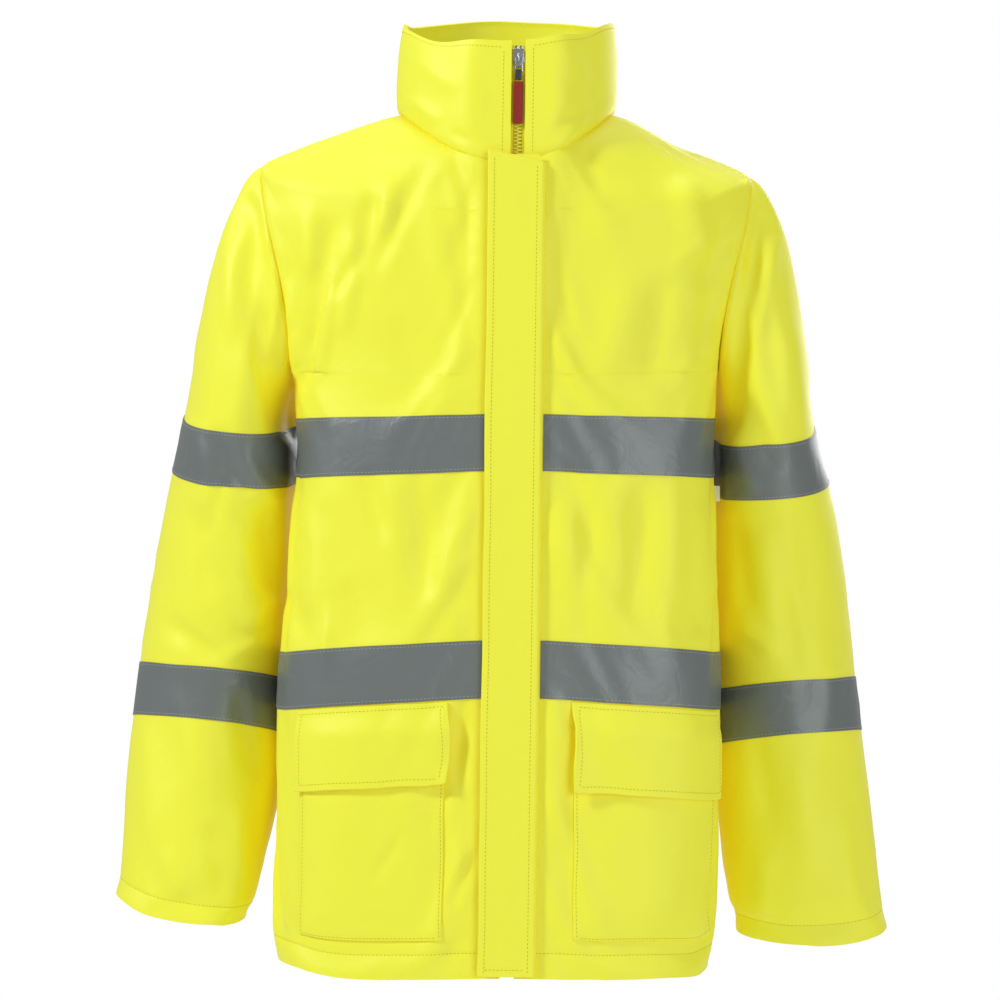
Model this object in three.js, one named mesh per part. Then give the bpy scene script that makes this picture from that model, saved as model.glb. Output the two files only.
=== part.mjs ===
// Foul weather jacket: a high-visibility parka with a stand collar, a full-length zip under a storm flap,
// two patch pockets with flaps, lined sleeves and retroreflective tape.
//
// Millimetres, +Z up, the wearer looks along -Y, so the wearer's right side is -X. The shapes are worked out
// from the hem (height 0), and the whole jacket is then moved so that the origin is the underside of the
// hanger loop, where the jacket hangs.
import * as THREE from "three";

// ---- Driving dimensions ---------------------------------------------------------------------------------

// Layers, from the outside in. SEAM is the clearance between two pieces that are sewn together.
const SHELL = 2.4; // coated outer fabric with its wadding
const LINING = 1.2;
const TAPE = 0.8; // retroreflective tape
const SEAM = 0.4;

// Body of the jacket: heights above the hem, and half widths at them.
const ARMPIT_HEIGHT = 526;
const SHOULDER_HEIGHT = 711;
const NECK_HEIGHT = 756; // the neck seam at the side of the neck
const SIDE_LINE_Y = -12; // the side seams lie here
// The middle's x
const SWAY = [[0, -9], [120, -7], [250, -4], [440, 2], [ARMPIT_HEIGHT, 2], [NECK_HEIGHT, 3]];
const HALF_WIDTHS = [
  [0, 194], [120, 196], [250, 197], [342, 193], [440, 186], [ARMPIT_HEIGHT, 190],
  [600, 209], [660, 222], [697, 222], [SHOULDER_HEIGHT, 217], [727, 183], [742, 140], [NECK_HEIGHT, 97],
];
const BACK_DEPTHS = [
  [0, 131], [200, 128], [350, 122], [450, 126], [560, 131], [650, 120],
  [SHOULDER_HEIGHT, 101], [NECK_HEIGHT, 78],
];
const FRONT_SQUARENESS = [
  [0, 0.08], [400, 0.075], [ARMPIT_HEIGHT, 0.06], [SHOULDER_HEIGHT, 0.03], [NECK_HEIGHT, 0],
];
const BACK_SQUARENESS = [[0, 0.03], [SHOULDER_HEIGHT, 0.03], [NECK_HEIGHT, 0]];
// How much lower the cloth hangs at the sides
const SIDE_DROP = [[0, 4], [265, 13], [461, 3], [ARMPIT_HEIGHT, 0]];
const NECK_DROP_FRONT = 52; // the neck seam is this much lower at the front
const NECK_RISE_BACK = 16;

// The front edge hangs in a straight line from the collar to the hem, and the zip runs along it.
const HEM_FRONT_Y = -140;
const FRONT_SLOPE = 0.0492; // the line leans back by this much for each millimetre of height
const FRONT_LEAN = 0.0132; // and to the wearer's left by this much
const ZIP_FOOT_X = 3;
const FRONT_EDGE = 6; // from the zip's centre to each front's edge

// Storm flap, in the frame of the front line
const STORM_FLAP = { width: 50, top: 715, bottom: 2, thick: 1.3, facing: 0.9, room: 3.4, foot: 4 };
const FLAT_TO = STORM_FLAP.width / 2 + 3; // the fronts lie in the line's own plane this far from the zip
const ROUND_FROM = 64; // and take the section's own curve from here

// Collar
const COLLAR_HALF_WIDTH = 94.5;
const COLLAR_SWAY = 5; // the x of the middle of the collar's top
const COLLAR_BACK_DEPTH = 76;
const COLLAR_TOP = { front: 811, side: 838, back: 853 };

// Armholes: half the angle that each opening takes, to the front and to the back of the side line.
const ARMHOLE_FRONT = THREE.MathUtils.degToRad(24);
const ARMHOLE_BACK = THREE.MathUtils.degToRad(36);

// Sleeves: centre of the tube, half width and half depth at five places from the biceps to the cuff.
const SLEEVES = {
  right: [
    [-239, 27, 503, 50, 84], [-248.5, 42, 400, 57, 80], [-257.5, 48, 290, 64, 74],
    [-270, 35, 170, 67, 60], [-289, 8, 40, 60, 46],
  ],
  left: [
    [237, 27, 492, 48, 85], [246, 42, 388, 55, 80], [252, 48, 275, 61.5, 74],
    [262, 37, 150, 66, 60], [276, 20, 18, 67, 44],
  ],
};
const SHOULDER_BULGE = 165; // how far the sleeve head leans out before it falls
const ARMPIT_BULGE = 34;
const SLEEVE_TAPE_CENTRES = [43, 272]; // along the sleeve from the biceps
const LINING_SHORT = 14; // the linings stop this far from the cuffs and the hem

// Retroreflective tape round the body: the heights of its lower edges
const TAPE_WIDTH = 50;
const CHEST_TAPE = 436;
const WAIST_TAPE = 240;
const TAPE_END_X = STORM_FLAP.width / 2 + 2; // the tapes stop this far from the zip's centre

// Pockets
const POCKET_INSET = 57; // from the zip's centre to each pocket's front edge
const POCKET_SIDE_ANGLE = THREE.MathUtils.degToRad(26); // from the side line to the pocket's far edge
const POCKET_BOTTOM = 34;
const POCKET_TOP = 214;
const POCKET_STANDS = 12; // room inside the pocket
const POCKET_CLOTH = 1.8;
const POCKET_FLAP_BOTTOM = 160;
const POCKET_FLAP_TOP = WAIST_TAPE - 1.5;
const POCKET_FLAP_OVER = 4; // how much wider than the pocket its flap is
const FASTENER = { height: 16, thick: 0.9 };

const STORM_FASTENERS = [62, 268, 474, 668];
const STORM_FASTENER = { width: 13, height: 52, thick: 1.2, inset: 2.5 };

// Zip, in the frame of the front line: y is 0 on the outer face of the fronts and grows inwards.
const ZIP = {
  bottom: 5, top: 808, plane: 3.6, tapeWidth: 13, tapeThick: 0.8, toothReach: 2.7, toothThick: 2.4,
};
const ZIP_POST_ROOM = 0.7; // from the zip's centre to each row of teeth
const ZIP_TEETH_TOP = 789;
const SLIDER = { length: 16, width: 10, plate: 1.1, room: 0.4, postHalf: 0.4, slot: 0.7, centre: 797 };
const BAIL = { length: 8.4, height: 3, thick: 0.9, width: 1.8 };
const PULLER = { width: 7.4, thick: 1.3, upperWindow: 6.2, lowerWindow: 3.4, bar: 1.4, leg: 1.3 };
const TAB = { width: 8.6, thick: 2.2, length: 37, holder: 9, holderWidth: 3.6, eye: 0.4 };
const GUARD = { width: 46, thick: 1.8, top: 800, bottom: 8 };

// Hanger loop and labels
const LOOP = { span: 62, rise: 20, thick: 1.6, width: 7, top: 794 };
const SIDE_LABEL = { out: 9, thick: 0.6, height: 20, bottom: 412 };

// ---- Colours -------------------------------------------------------------------------------------------

const FINISHES = {
  shell: { color: 0xeef233, roughness: 0.6, metalness: 0 },
  lining: { color: 0x27303c, roughness: 0.7, metalness: 0 },
  reflective: { color: 0x7f8587, roughness: 0.45, metalness: 0.2 },
  zipTape: { color: 0xe8e23a, roughness: 0.8, metalness: 0 },
  teeth: { color: 0xe3e04a, roughness: 0.4, metalness: 0 },
  nickel: { color: 0xb9bbbd, roughness: 0.25, metalness: 1 },
  tab: { color: 0x9c2b1c, roughness: 0.6, metalness: 0 },
  tabHolder: { color: 0x3a3f44, roughness: 0.6, metalness: 0 },
  fastener: { color: 0xdfe04a, roughness: 0.9, metalness: 0 },
  label: { color: 0xf0f0ee, roughness: 0.8, metalness: 0 },
};

// ---- Curves and surfaces -------------------------------------------------------------------------------

// A smooth curve through [x, value] pairs, read at x.
function profile(points, x) {
  const last = points.length - 1;
  if (x <= points[0][0]) return points[0][1];
  if (x >= points[last][0]) return points[last][1];
  let i = 0;
  while (points[i + 1][0] < x) i++;
  const slope = (k) => {
    const a = points[Math.max(k - 1, 0)];
    const b = points[Math.min(k + 1, last)];
    return (b[1] - a[1]) / (b[0] - a[0]);
  };
  const [x0, y0] = points[i];
  const [x1, y1] = points[i + 1];
  const span = x1 - x0;
  return hermite((x - x0) / span, y0, y1, slope(i) * span, slope(i + 1) * span);
}

function hermite(t, from, to, leave, arrive) {
  const s = 1 - t;
  return from * s * s * (1 + 2 * t) + to * t * t * (3 - 2 * t) + leave * t * s * s - arrive * t * t * s;
}

const frontLineY = (z) => HEM_FRONT_Y + FRONT_SLOPE * z;
const zipX = (z) => ZIP_FOOT_X + FRONT_LEAN * z;
// An angle round the body is 0 at the wearer's left side, PI/2 at the centre back and 3 PI/2 at the front.

// A point of a squared-off ellipse of half size 1.
function section(angle, squareness) {
  const size = 1 - squareness;
  return [
    (Math.cos(angle) - squareness * Math.cos(3 * angle)) / size,
    (Math.sin(angle) + squareness * Math.sin(3 * angle)) / size,
  ];
}

// Beside the zip the surface is flat, so that the zip lies in one plane.
function flattenFront(point) {
  const away = Math.abs(point.x - zipX(point.z));
  if (point.y > SIDE_LINE_Y || away > ROUND_FROM) return point;
  const round = THREE.MathUtils.smoothstep(away, FLAT_TO, ROUND_FROM);
  return point.setY(THREE.MathUtils.lerp(frontLineY(point.z), point.y, round));
}

// The outer face of the body, at an angle round it and a height.
function bodyPoint(angle, height) {
  const squareness = Math.sin(angle) < 0 ? FRONT_SQUARENESS : BACK_SQUARENESS;
  const [across, deep] = section(angle, profile(squareness, height));
  const turn = THREE.MathUtils.smoothstep(height, ARMPIT_HEIGHT - 60, NECK_HEIGHT);
  const frontZ = height - NECK_DROP_FRONT * turn;
  const sideways = Math.cos(angle) ** 2;
  const tilt = deep < 0 ? -NECK_DROP_FRONT : NECK_RISE_BACK;
  const depth = deep < 0 ? SIDE_LINE_Y - frontLineY(frontZ) : profile(BACK_DEPTHS, height) - SIDE_LINE_Y;
  return flattenFront(new THREE.Vector3(
    profile(SWAY, height) + profile(HALF_WIDTHS, height) * across,
    SIDE_LINE_Y + depth * deep,
    height + tilt * turn * (1 - sideways) - profile(SIDE_DROP, height) * sideways,
  ));
}

// The outer face of the collar: rise 0 is the neck seam, and 1 the top edge.
function collarPoint(angle, rise) {
  const neck = bodyPoint(angle, NECK_HEIGHT);
  const [across, deep] = section(angle, 0);
  const sideways = Math.cos(angle) ** 2;
  const end = deep < 0 ? COLLAR_TOP.front : COLLAR_TOP.back;
  const depth = deep < 0 ? SIDE_LINE_Y - frontLineY(COLLAR_TOP.front) : COLLAR_BACK_DEPTH - SIDE_LINE_Y;
  const top = new THREE.Vector3(
    COLLAR_SWAY + COLLAR_HALF_WIDTH * across,
    SIDE_LINE_Y + depth * deep,
    COLLAR_TOP.side * sideways + end * (1 - sideways),
  );
  return neck.lerp(flattenFront(top), rise);
}

// The angle at which the front of a surface lies at a distance to the wearer's left of the zip.
function frontAngleAt(surface, level, distance) {
  let low = Math.PI;
  let high = 2 * Math.PI;
  for (let i = 0; i < 40; i++) {
    const middle = (low + high) / 2;
    const point = surface(middle, level);
    if (point.x < zipX(point.z) + distance) low = middle;
    else high = middle;
  }
  return (low + high) / 2;
}

// 0 at the armpit and at the shoulder point, and 1 half way between them.
const ARMHOLE_CENTRE = (ARMPIT_HEIGHT + SHOULDER_HEIGHT) / 2;
const ARMHOLE_HALF = (SHOULDER_HEIGHT - ARMPIT_HEIGHT) / 2;
function armholeOpen(height) {
  const t = (height - ARMHOLE_CENTRE) / ARMHOLE_HALF;
  return Math.abs(t) < 1 ? Math.sqrt(1 - t * t) : 0;
}

// The sleeve on one side. round is 0 on the outside of the arm, PI/2 at its front and PI at the inside.
// along is -1 at the armhole and 0 at the biceps, and from there it is millimetres towards the cuff.
class Sleeve {
  constructor(side) {
    this.side = side === "right" ? -1 : 1;
    this.stations = SLEEVES[side];
    this.path = new THREE.CatmullRomCurve3(this.stations.map(([x, y, z]) => new THREE.Vector3(x, y, z)));
    this.length = this.path.getLength();
  }

  // The body's angle at a sleeve's seam point, and its height.
  armhole(round) {
    const reach = Math.sin(round) > 0 ? ARMHOLE_FRONT : ARMHOLE_BACK;
    const turn = reach * Math.sin(round);
    const angle = this.side < 0 ? Math.PI + turn : 2 * Math.PI - turn;
    return bodyPoint(angle, ARMHOLE_CENTRE + ARMHOLE_HALF * Math.cos(round));
  }

  ring(round, distance) {
    const u = Math.min(Math.max(distance / this.length, 0), 1);
    const t = this.path.getUtoTmapping(u);
    const centre = this.path.getPoint(t);
    const down = this.path.getTangent(t);
    const out = new THREE.Vector3(this.side, 0, 0);
    out.addScaledVector(down, -out.dot(down)).normalize();
    const forward = new THREE.Vector3().crossVectors(down, out).multiplyScalar(this.side);
    const place = t * (this.stations.length - 1);
    const half = profile(this.stations.map((s, i) => [i, s[3]]), place);
    const deep = profile(this.stations.map((s, i) => [i, s[4]]), place);
    return centre
      .addScaledVector(out, half * Math.cos(round))
      .addScaledVector(forward, deep * Math.sin(round));
  }

  point(round, along) {
    if (along >= 0) return this.ring(round, along);
    const t = along + 1;
    const high = (1 + Math.cos(round)) / 2;
    const leave = new THREE.Vector3(this.side * (0.45 + 0.45 * high), 0, -0.85 + 0.4 * high);
    leave.normalize().multiplyScalar(THREE.MathUtils.lerp(ARMPIT_BULGE, SHOULDER_BULGE, high));
    const from = this.armhole(round).addScaledVector(leave, SEAM / leave.length());
    const to = this.ring(round, 0);
    const arrive = this.ring(round, 1).sub(to).multiplyScalar(leave.length() * 1.15);
    return new THREE.Vector3(
      hermite(t, from.x, to.x, leave.x, arrive.x),
      hermite(t, from.y, to.y, leave.y, arrive.y),
      hermite(t, from.z, to.z, leave.z, arrive.z),
    );
  }
}

// A surface moved inwards by depth, or outwards where depth is negative. inside(a, b) is a point inside it.
function offset(surface, inside, range, step) {
  return (a, b, depth) => {
    const [low, high] = range;
    const up = surface(a, Math.min(b + step[1], high)).sub(surface(a, Math.max(b - step[1], low)));
    const round = surface(a + step[0], b).sub(surface(a - step[0], b));
    const normal = new THREE.Vector3().crossVectors(round, up).normalize();
    const place = surface(a, b);
    if (normal.dot(inside(a, b).sub(place)) < 0) normal.negate();
    return place.addScaledVector(normal, depth);
  };
}

const body = offset(
  bodyPoint, (angle, height) => new THREE.Vector3(0, 0, height - 60), [-10, NECK_HEIGHT], [0.01, 3],
);
const collar = offset(
  collarPoint, (angle, rise) => new THREE.Vector3(0, SIDE_LINE_Y, 780), [0, 1], [0.01, 0.02],
);

// ---- Solids --------------------------------------------------------------------------------------------

// Turns a geometry's faces to point out, if they point in.
function facingOut(points, faces) {
  let volume = 0;
  for (const [a, b, c] of faces) {
    volume += points[a].dot(new THREE.Vector3().crossVectors(points[b], points[c]));
  }
  const turned = volume < 0 ? faces.map(([a, b, c]) => [a, c, b]) : faces;
  const geometry = new THREE.BufferGeometry();
  geometry.setFromPoints(points);
  geometry.setIndex(turned.flat());
  geometry.computeVertexNormals();
  return geometry;
}

// The closed solid between two layers of the same grid of points. A ring's last column joins its first.
function layers(outer, inner, ring = false) {
  const rows = outer.length;
  const columns = outer[0].length;
  const points = [...outer.flat(), ...inner.flat()];
  const at = (layer, i, j) => layer * rows * columns + i * columns + (j % columns);
  const faces = [];
  const quad = (a, b, c, d) => faces.push([a, b, c], [a, c, d]);
  const across = ring ? columns : columns - 1;
  for (let i = 0; i < rows - 1; i++) {
    for (let j = 0; j < across; j++) {
      quad(at(0, i, j), at(0, i, j + 1), at(0, i + 1, j + 1), at(0, i + 1, j));
      quad(at(1, i, j), at(1, i + 1, j), at(1, i + 1, j + 1), at(1, i, j + 1));
    }
    if (ring) continue;
    quad(at(0, i, 0), at(0, i + 1, 0), at(1, i + 1, 0), at(1, i, 0));
    quad(at(0, i + 1, across), at(0, i, across), at(1, i, across), at(1, i + 1, across));
  }
  for (let j = 0; j < across; j++) {
    quad(at(0, 0, j + 1), at(0, 0, j), at(1, 0, j), at(1, 0, j + 1));
    quad(at(0, rows - 1, j), at(0, rows - 1, j + 1), at(1, rows - 1, j + 1), at(1, rows - 1, j));
  }
  return facingOut(points, faces);
}

// A sheet of cloth on a surface: rows are its levels, columns(level) the angles across it.
// outer and inner say how deep each face lies at a point of the grid.
function sheet(surface, rows, columns, outer, inner, ring = false) {
  const face = (depth) =>
    rows.map((level, i) => {
      const angles = columns(level);
      return angles.map((angle, j) => surface(angle, level, depth(i, j, rows.length, angles.length)));
    });
  return layers(face(outer), face(inner), ring);
}

// Places from one number to another, in so many even steps.
const even = (from, to, count) =>
  Array.from({ length: count + 1 }, (_, i) => from + ((to - from) * i) / count);

function extruded(outline, depth, holes = []) {
  const shape = new THREE.Shape(outline.map(([x, y]) => new THREE.Vector2(x, y)));
  holes.forEach((hole) => shape.holes.push(new THREE.Path(hole.map(([x, y]) => new THREE.Vector2(x, y)))));
  return new THREE.ExtrudeGeometry(shape, { depth, bevelEnabled: false, curveSegments: 8 });
}

const rectangle = (x0, y0, x1, y1) => [[x0, y0], [x1, y0], [x1, y1], [x0, y1]];

const jacket = new THREE.Group();
const frontLine = new THREE.Group(); // +Z runs up the zip, +Y goes into the jacket
frontLine.position.set(ZIP_FOOT_X, HEM_FRONT_Y, 0);
const upLine = new THREE.Vector3(FRONT_LEAN, FRONT_SLOPE, 1).normalize();
const inward = new THREE.Vector3(0, 1, -FRONT_SLOPE).normalize();
frontLine.setRotationFromMatrix(
  new THREE.Matrix4().makeBasis(new THREE.Vector3().crossVectors(inward, upLine), inward, upLine),
);
jacket.add(frontLine);

function add(name, geometry, finish, group = jacket) {
  const mesh = new THREE.Mesh(geometry, new THREE.MeshStandardMaterial(FINISHES[finish]));
  mesh.name = name;
  group.add(mesh);
  return mesh;
}

// An outline in x and y, extruded up the front line from bottom to top.
function upright(name, outline, bottom, top, finish) {
  add(name, extruded(outline, top - bottom), finish, frontLine).position.z = bottom;
}

// ---- Body panels and their lining ----------------------------------------------------------------------

const ARMHOLE_STEPS = 8;
const armholeRows = Array.from(
  { length: ARMHOLE_STEPS + 1 },
  (_, i) => (i < ARMHOLE_STEPS
    ? ARMHOLE_CENTRE - ARMHOLE_HALF * Math.cos((Math.PI * i) / ARMHOLE_STEPS)
    : SHOULDER_HEIGHT),
);
const bodyRows = [
  0, POCKET_BOTTOM, 95, POCKET_FLAP_BOTTOM, POCKET_TOP, WAIST_TAPE, WAIST_TAPE + TAPE_WIDTH, 340, 390,
  CHEST_TAPE, CHEST_TAPE + TAPE_WIDTH, ...armholeRows, 727, 742, NECK_HEIGHT,
];
// The linings cut the corner of the shoulder.
const liningRows = [LINING_SHORT, ...bodyRows.slice(1).filter((height) => height !== SHOULDER_HEIGHT)];
const SIDE_GAP = SEAM / 2 / 130; // as an angle

// The angles across one front from the side seam to the zip. The pocket's and its flap's edges are among them.
const SIDE_COLUMNS = 2; // steps before the flap's far edge
const POCKET_COLUMNS = 7;
function frontColumns(side, height) {
  const right = side === "right";
  const sign = right ? 1 : -1;
  const seam = right ? Math.PI : 2 * Math.PI;
  const start = seam + sign * (SIDE_GAP + ARMHOLE_FRONT * armholeOpen(height));
  const from = (distance) => frontAngleAt(bodyPoint, height, -sign * distance);
  const far = Math.max(POCKET_SIDE_ANGLE, sign * (start - seam) + 0.05);
  const flapFar = seam + sign * far;
  const pocketFar = seam + sign * (far + POCKET_FLAP_OVER / 100);
  const pocket = even(pocketFar, from(POCKET_INSET), POCKET_COLUMNS);
  return [
    ...even(start, flapFar, SIDE_COLUMNS),
    ...pocket,
    from(POCKET_INSET - POCKET_FLAP_OVER),
    from(TAPE_END_X),
    from(FRONT_EDGE),
  ];
}

const backColumns = (height) => {
  const start = SIDE_GAP + ARMHOLE_BACK * armholeOpen(height);
  return even(start, Math.PI - start, 14);
};

const LINING_DEPTH = SHELL + 2 * SEAM;
for (const side of ["right", "left"]) {
  const columns = (height) => frontColumns(side, height);
  add(`${side}_front_panel`, sheet(body, bodyRows, columns, () => 0, () => SHELL), "shell");
  const lined = (height) => columns(height).slice(0, -1);
  const lining = sheet(body, liningRows, lined, () => LINING_DEPTH, () => LINING_DEPTH + LINING);
  add(`${side}_front_lining`, lining, "lining");
}
add("back_panel", sheet(body, bodyRows, backColumns, () => 0, () => SHELL), "shell");
const backLining = sheet(body, liningRows, backColumns, () => LINING_DEPTH, () => LINING_DEPTH + LINING);
add("back_lining", backLining, "lining");

// ---- Collar --------------------------------------------------------------------------------------------

// From one side of the zip round the back to the other.
function collarColumns(rise) {
  const at = (distance) => frontAngleAt(collarPoint, rise, distance);
  const round = even(at(TAPE_END_X) - 2 * Math.PI, at(-TAPE_END_X), 26);
  return [at(FRONT_EDGE) - 2 * Math.PI, ...round, at(-FRONT_EDGE)];
}
const NECK_GAP = (2 * SEAM) / 80; // as a share of the collar's height
const collarRows = even(NECK_GAP, 1, 4);
add("collar_outer", sheet(collar, collarRows, collarColumns, () => 0, () => SHELL), "shell");
const insideCollar = (rise) => collarColumns(rise).slice(1, -1);
const innerCollar = sheet(collar, collarRows, insideCollar, () => LINING_DEPTH, () => LINING_DEPTH + LINING);
add("collar_lining", innerCollar, "shell");

// ---- Sleeves, their lining and their tape --------------------------------------------------------------

const SLEEVE_COLUMNS = 2 * ARMHOLE_STEPS; // so that a sleeve's points meet the armhole's
const capRows = [-1, -0.9, -0.76, -0.58, -0.38, -0.18];
const roundColumns = () =>
  Array.from({ length: SLEEVE_COLUMNS }, (_, i) => (2 * Math.PI * i) / SLEEVE_COLUMNS);
const onOuter = () => -SEAM;
const onTape = () => -SEAM - TAPE;

for (const side of ["right", "left"]) {
  const sleeve = new Sleeve(side);
  const surface = offset(
    (round, along) => sleeve.point(round, along),
    (round, along) => {
      const across = sleeve.point(round, along).add(sleeve.point(round + Math.PI, along));
      return across.multiplyScalar(0.5);
    },
    [-1, sleeve.length],
    [0.01, 0.02],
  );
  const tapes = SLEEVE_TAPE_CENTRES.map((centre) => [centre - TAPE_WIDTH / 2, centre + TAPE_WIDTH / 2]);
  const rows = [...capRows, 0, ...tapes[0], 115, 165, 210, ...tapes[1], 345, 400, 440, sleeve.length];
  add(`${side}_sleeve`, sheet(surface, rows, roundColumns, () => 0, () => SHELL, true), "shell");
  const lined = [...rows.slice(capRows.length - 1, -1), sleeve.length - LINING_SHORT];
  const lining = sheet(surface, lined, roundColumns, () => LINING_DEPTH, () => LINING_DEPTH + LINING, true);
  add(`${side}_sleeve_lining`, lining, "lining");
  tapes.forEach((ends, i) => {
    const name = `${side}_sleeve_${i ? "lower" : "upper"}_tape`;
    add(name, sheet(surface, ends, roundColumns, onTape, onOuter, true), "reflective");
  });
}

// ---- Retroreflective tape on the body ------------------------------------------------------------------

for (const [name, low] of [["chest", CHEST_TAPE], ["waist", WAIST_TAPE]]) {
  const rows = [low, low + TAPE_WIDTH];
  for (const side of ["right", "left"]) {
    const columns = (height) => frontColumns(side, height).slice(0, -1);
    add(`${side}_${name}_tape`, sheet(body, rows, columns, onTape, onOuter), "reflective");
  }
  add(`back_${name}_tape`, sheet(body, rows, backColumns, onTape, onOuter), "reflective");
}

// ---- Pockets and their flaps ---------------------------------------------------------------------------

const FLAP_START = SIDE_COLUMNS;
const FLAP_END = SIDE_COLUMNS + POCKET_COLUMNS + 3;
const flapColumns = (side) => (height) => frontColumns(side, height).slice(FLAP_START, FLAP_END);
const pocketColumns = (side) => (height) => flapColumns(side)(height).slice(1, -1);

// A pocket is sewn down at its sides and its bottom, and stands away from the front everywhere else.
// It rises slowly from its far edge, so that the flap can swing past it.
const POCKET_RISE_COLUMNS = 3;
const sewnDown = (i, j, rows, columns) => i === 0 || j === 0 || j === columns - 1;
const pocketInside = (i, j, rows, columns) => {
  const rise = Math.min(j / POCKET_RISE_COLUMNS, 1);
  return -(sewnDown(i, j, rows, columns) ? SEAM : POCKET_STANDS * rise);
};
const pocketOutside = (i, j, rows, columns) => pocketInside(i, j, rows, columns) - POCKET_CLOTH;

// The flap is sewn on at its top edge and hangs over the pocket.
const FLAP_CLEAR = POCKET_STANDS + POCKET_CLOTH + 2 * SEAM + 2 * FASTENER.thick;
const flapInside = (i, j, rows) => -(i === rows - 1 ? SEAM : FLAP_CLEAR);
const flapOutside = (i, j, rows) => flapInside(i, j, rows) - SHELL;

const pocketRows = [POCKET_BOTTOM, POCKET_BOTTOM + 10, 95, POCKET_FLAP_BOTTOM, POCKET_TOP];
const flapRows = [POCKET_FLAP_BOTTOM, POCKET_TOP - 6, POCKET_TOP + 6, POCKET_FLAP_TOP];

for (const side of ["right", "left"]) {
  const columns = pocketColumns(side);
  add(`${side}_pocket`, sheet(body, pocketRows, columns, pocketOutside, pocketInside), "shell");
  add(`${side}_pocket_flap`, sheet(body, flapRows, flapColumns(side), flapOutside, flapInside), "shell");
  // The touch-and-close strips: the loop strip on the pocket, and the hook strip on the flap.
  const middle = (POCKET_FLAP_BOTTOM + POCKET_TOP) / 2;
  const strip = [middle - FASTENER.height / 2, middle + FASTENER.height / 2];
  const span = (height) => columns(height).slice(4, 6);
  const loopDepth = POCKET_STANDS + POCKET_CLOTH + SEAM;
  const hookDepth = FLAP_CLEAR - SEAM;
  const loop = sheet(body, strip, span, () => -loopDepth - FASTENER.thick + SEAM / 2, () => -loopDepth);
  add(`${side}_pocket_loop_strip`, loop, "fastener");
  const hook = sheet(body, strip, span, () => -hookDepth, () => -hookDepth + FASTENER.thick - SEAM / 2);
  add(`${side}_pocket_hook_strip`, hook, "fastener");
}

// ---- Storm flap ----------------------------------------------------------------------------------------

{
  const half = STORM_FLAP.width / 2;
  const under = -STORM_FLAP.room; // the facing's inner face
  const facingFace = under - STORM_FLAP.facing;
  const cover = facingFace - SEAM;
  const face = cover - STORM_FLAP.thick;
  const foot = half - STORM_FLAP.foot;
  const outline = [[-half, face], [half, face], [half, -SEAM], [foot, -SEAM], [foot, cover], [-half, cover]];
  upright("storm_flap", outline, STORM_FLAP.bottom, STORM_FLAP.top, "shell");
  const facing = rectangle(-half + 1, facingFace, foot - SEAM, under);
  upright("storm_flap_facing", facing, STORM_FLAP.bottom + 2, STORM_FLAP.top - 2, "shell");
  const left = -half + STORM_FASTENER.inset;
  STORM_FASTENERS.forEach((height, i) => {
    const low = height - STORM_FASTENER.height / 2;
    const high = height + STORM_FASTENER.height / 2;
    const right = left + STORM_FASTENER.width;
    const hook = rectangle(left, under + SEAM, right, under + SEAM + STORM_FASTENER.thick);
    upright(`storm_flap_hook_strip_${i + 1}`, hook, low, high, "fastener");
    const loop = rectangle(left, -SEAM - STORM_FASTENER.thick + 0.2, right, -SEAM);
    upright(`front_loop_strip_${i + 1}`, loop, low, high, "fastener");
  });
}

// ---- Zip -----------------------------------------------------------------------------------------------

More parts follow.
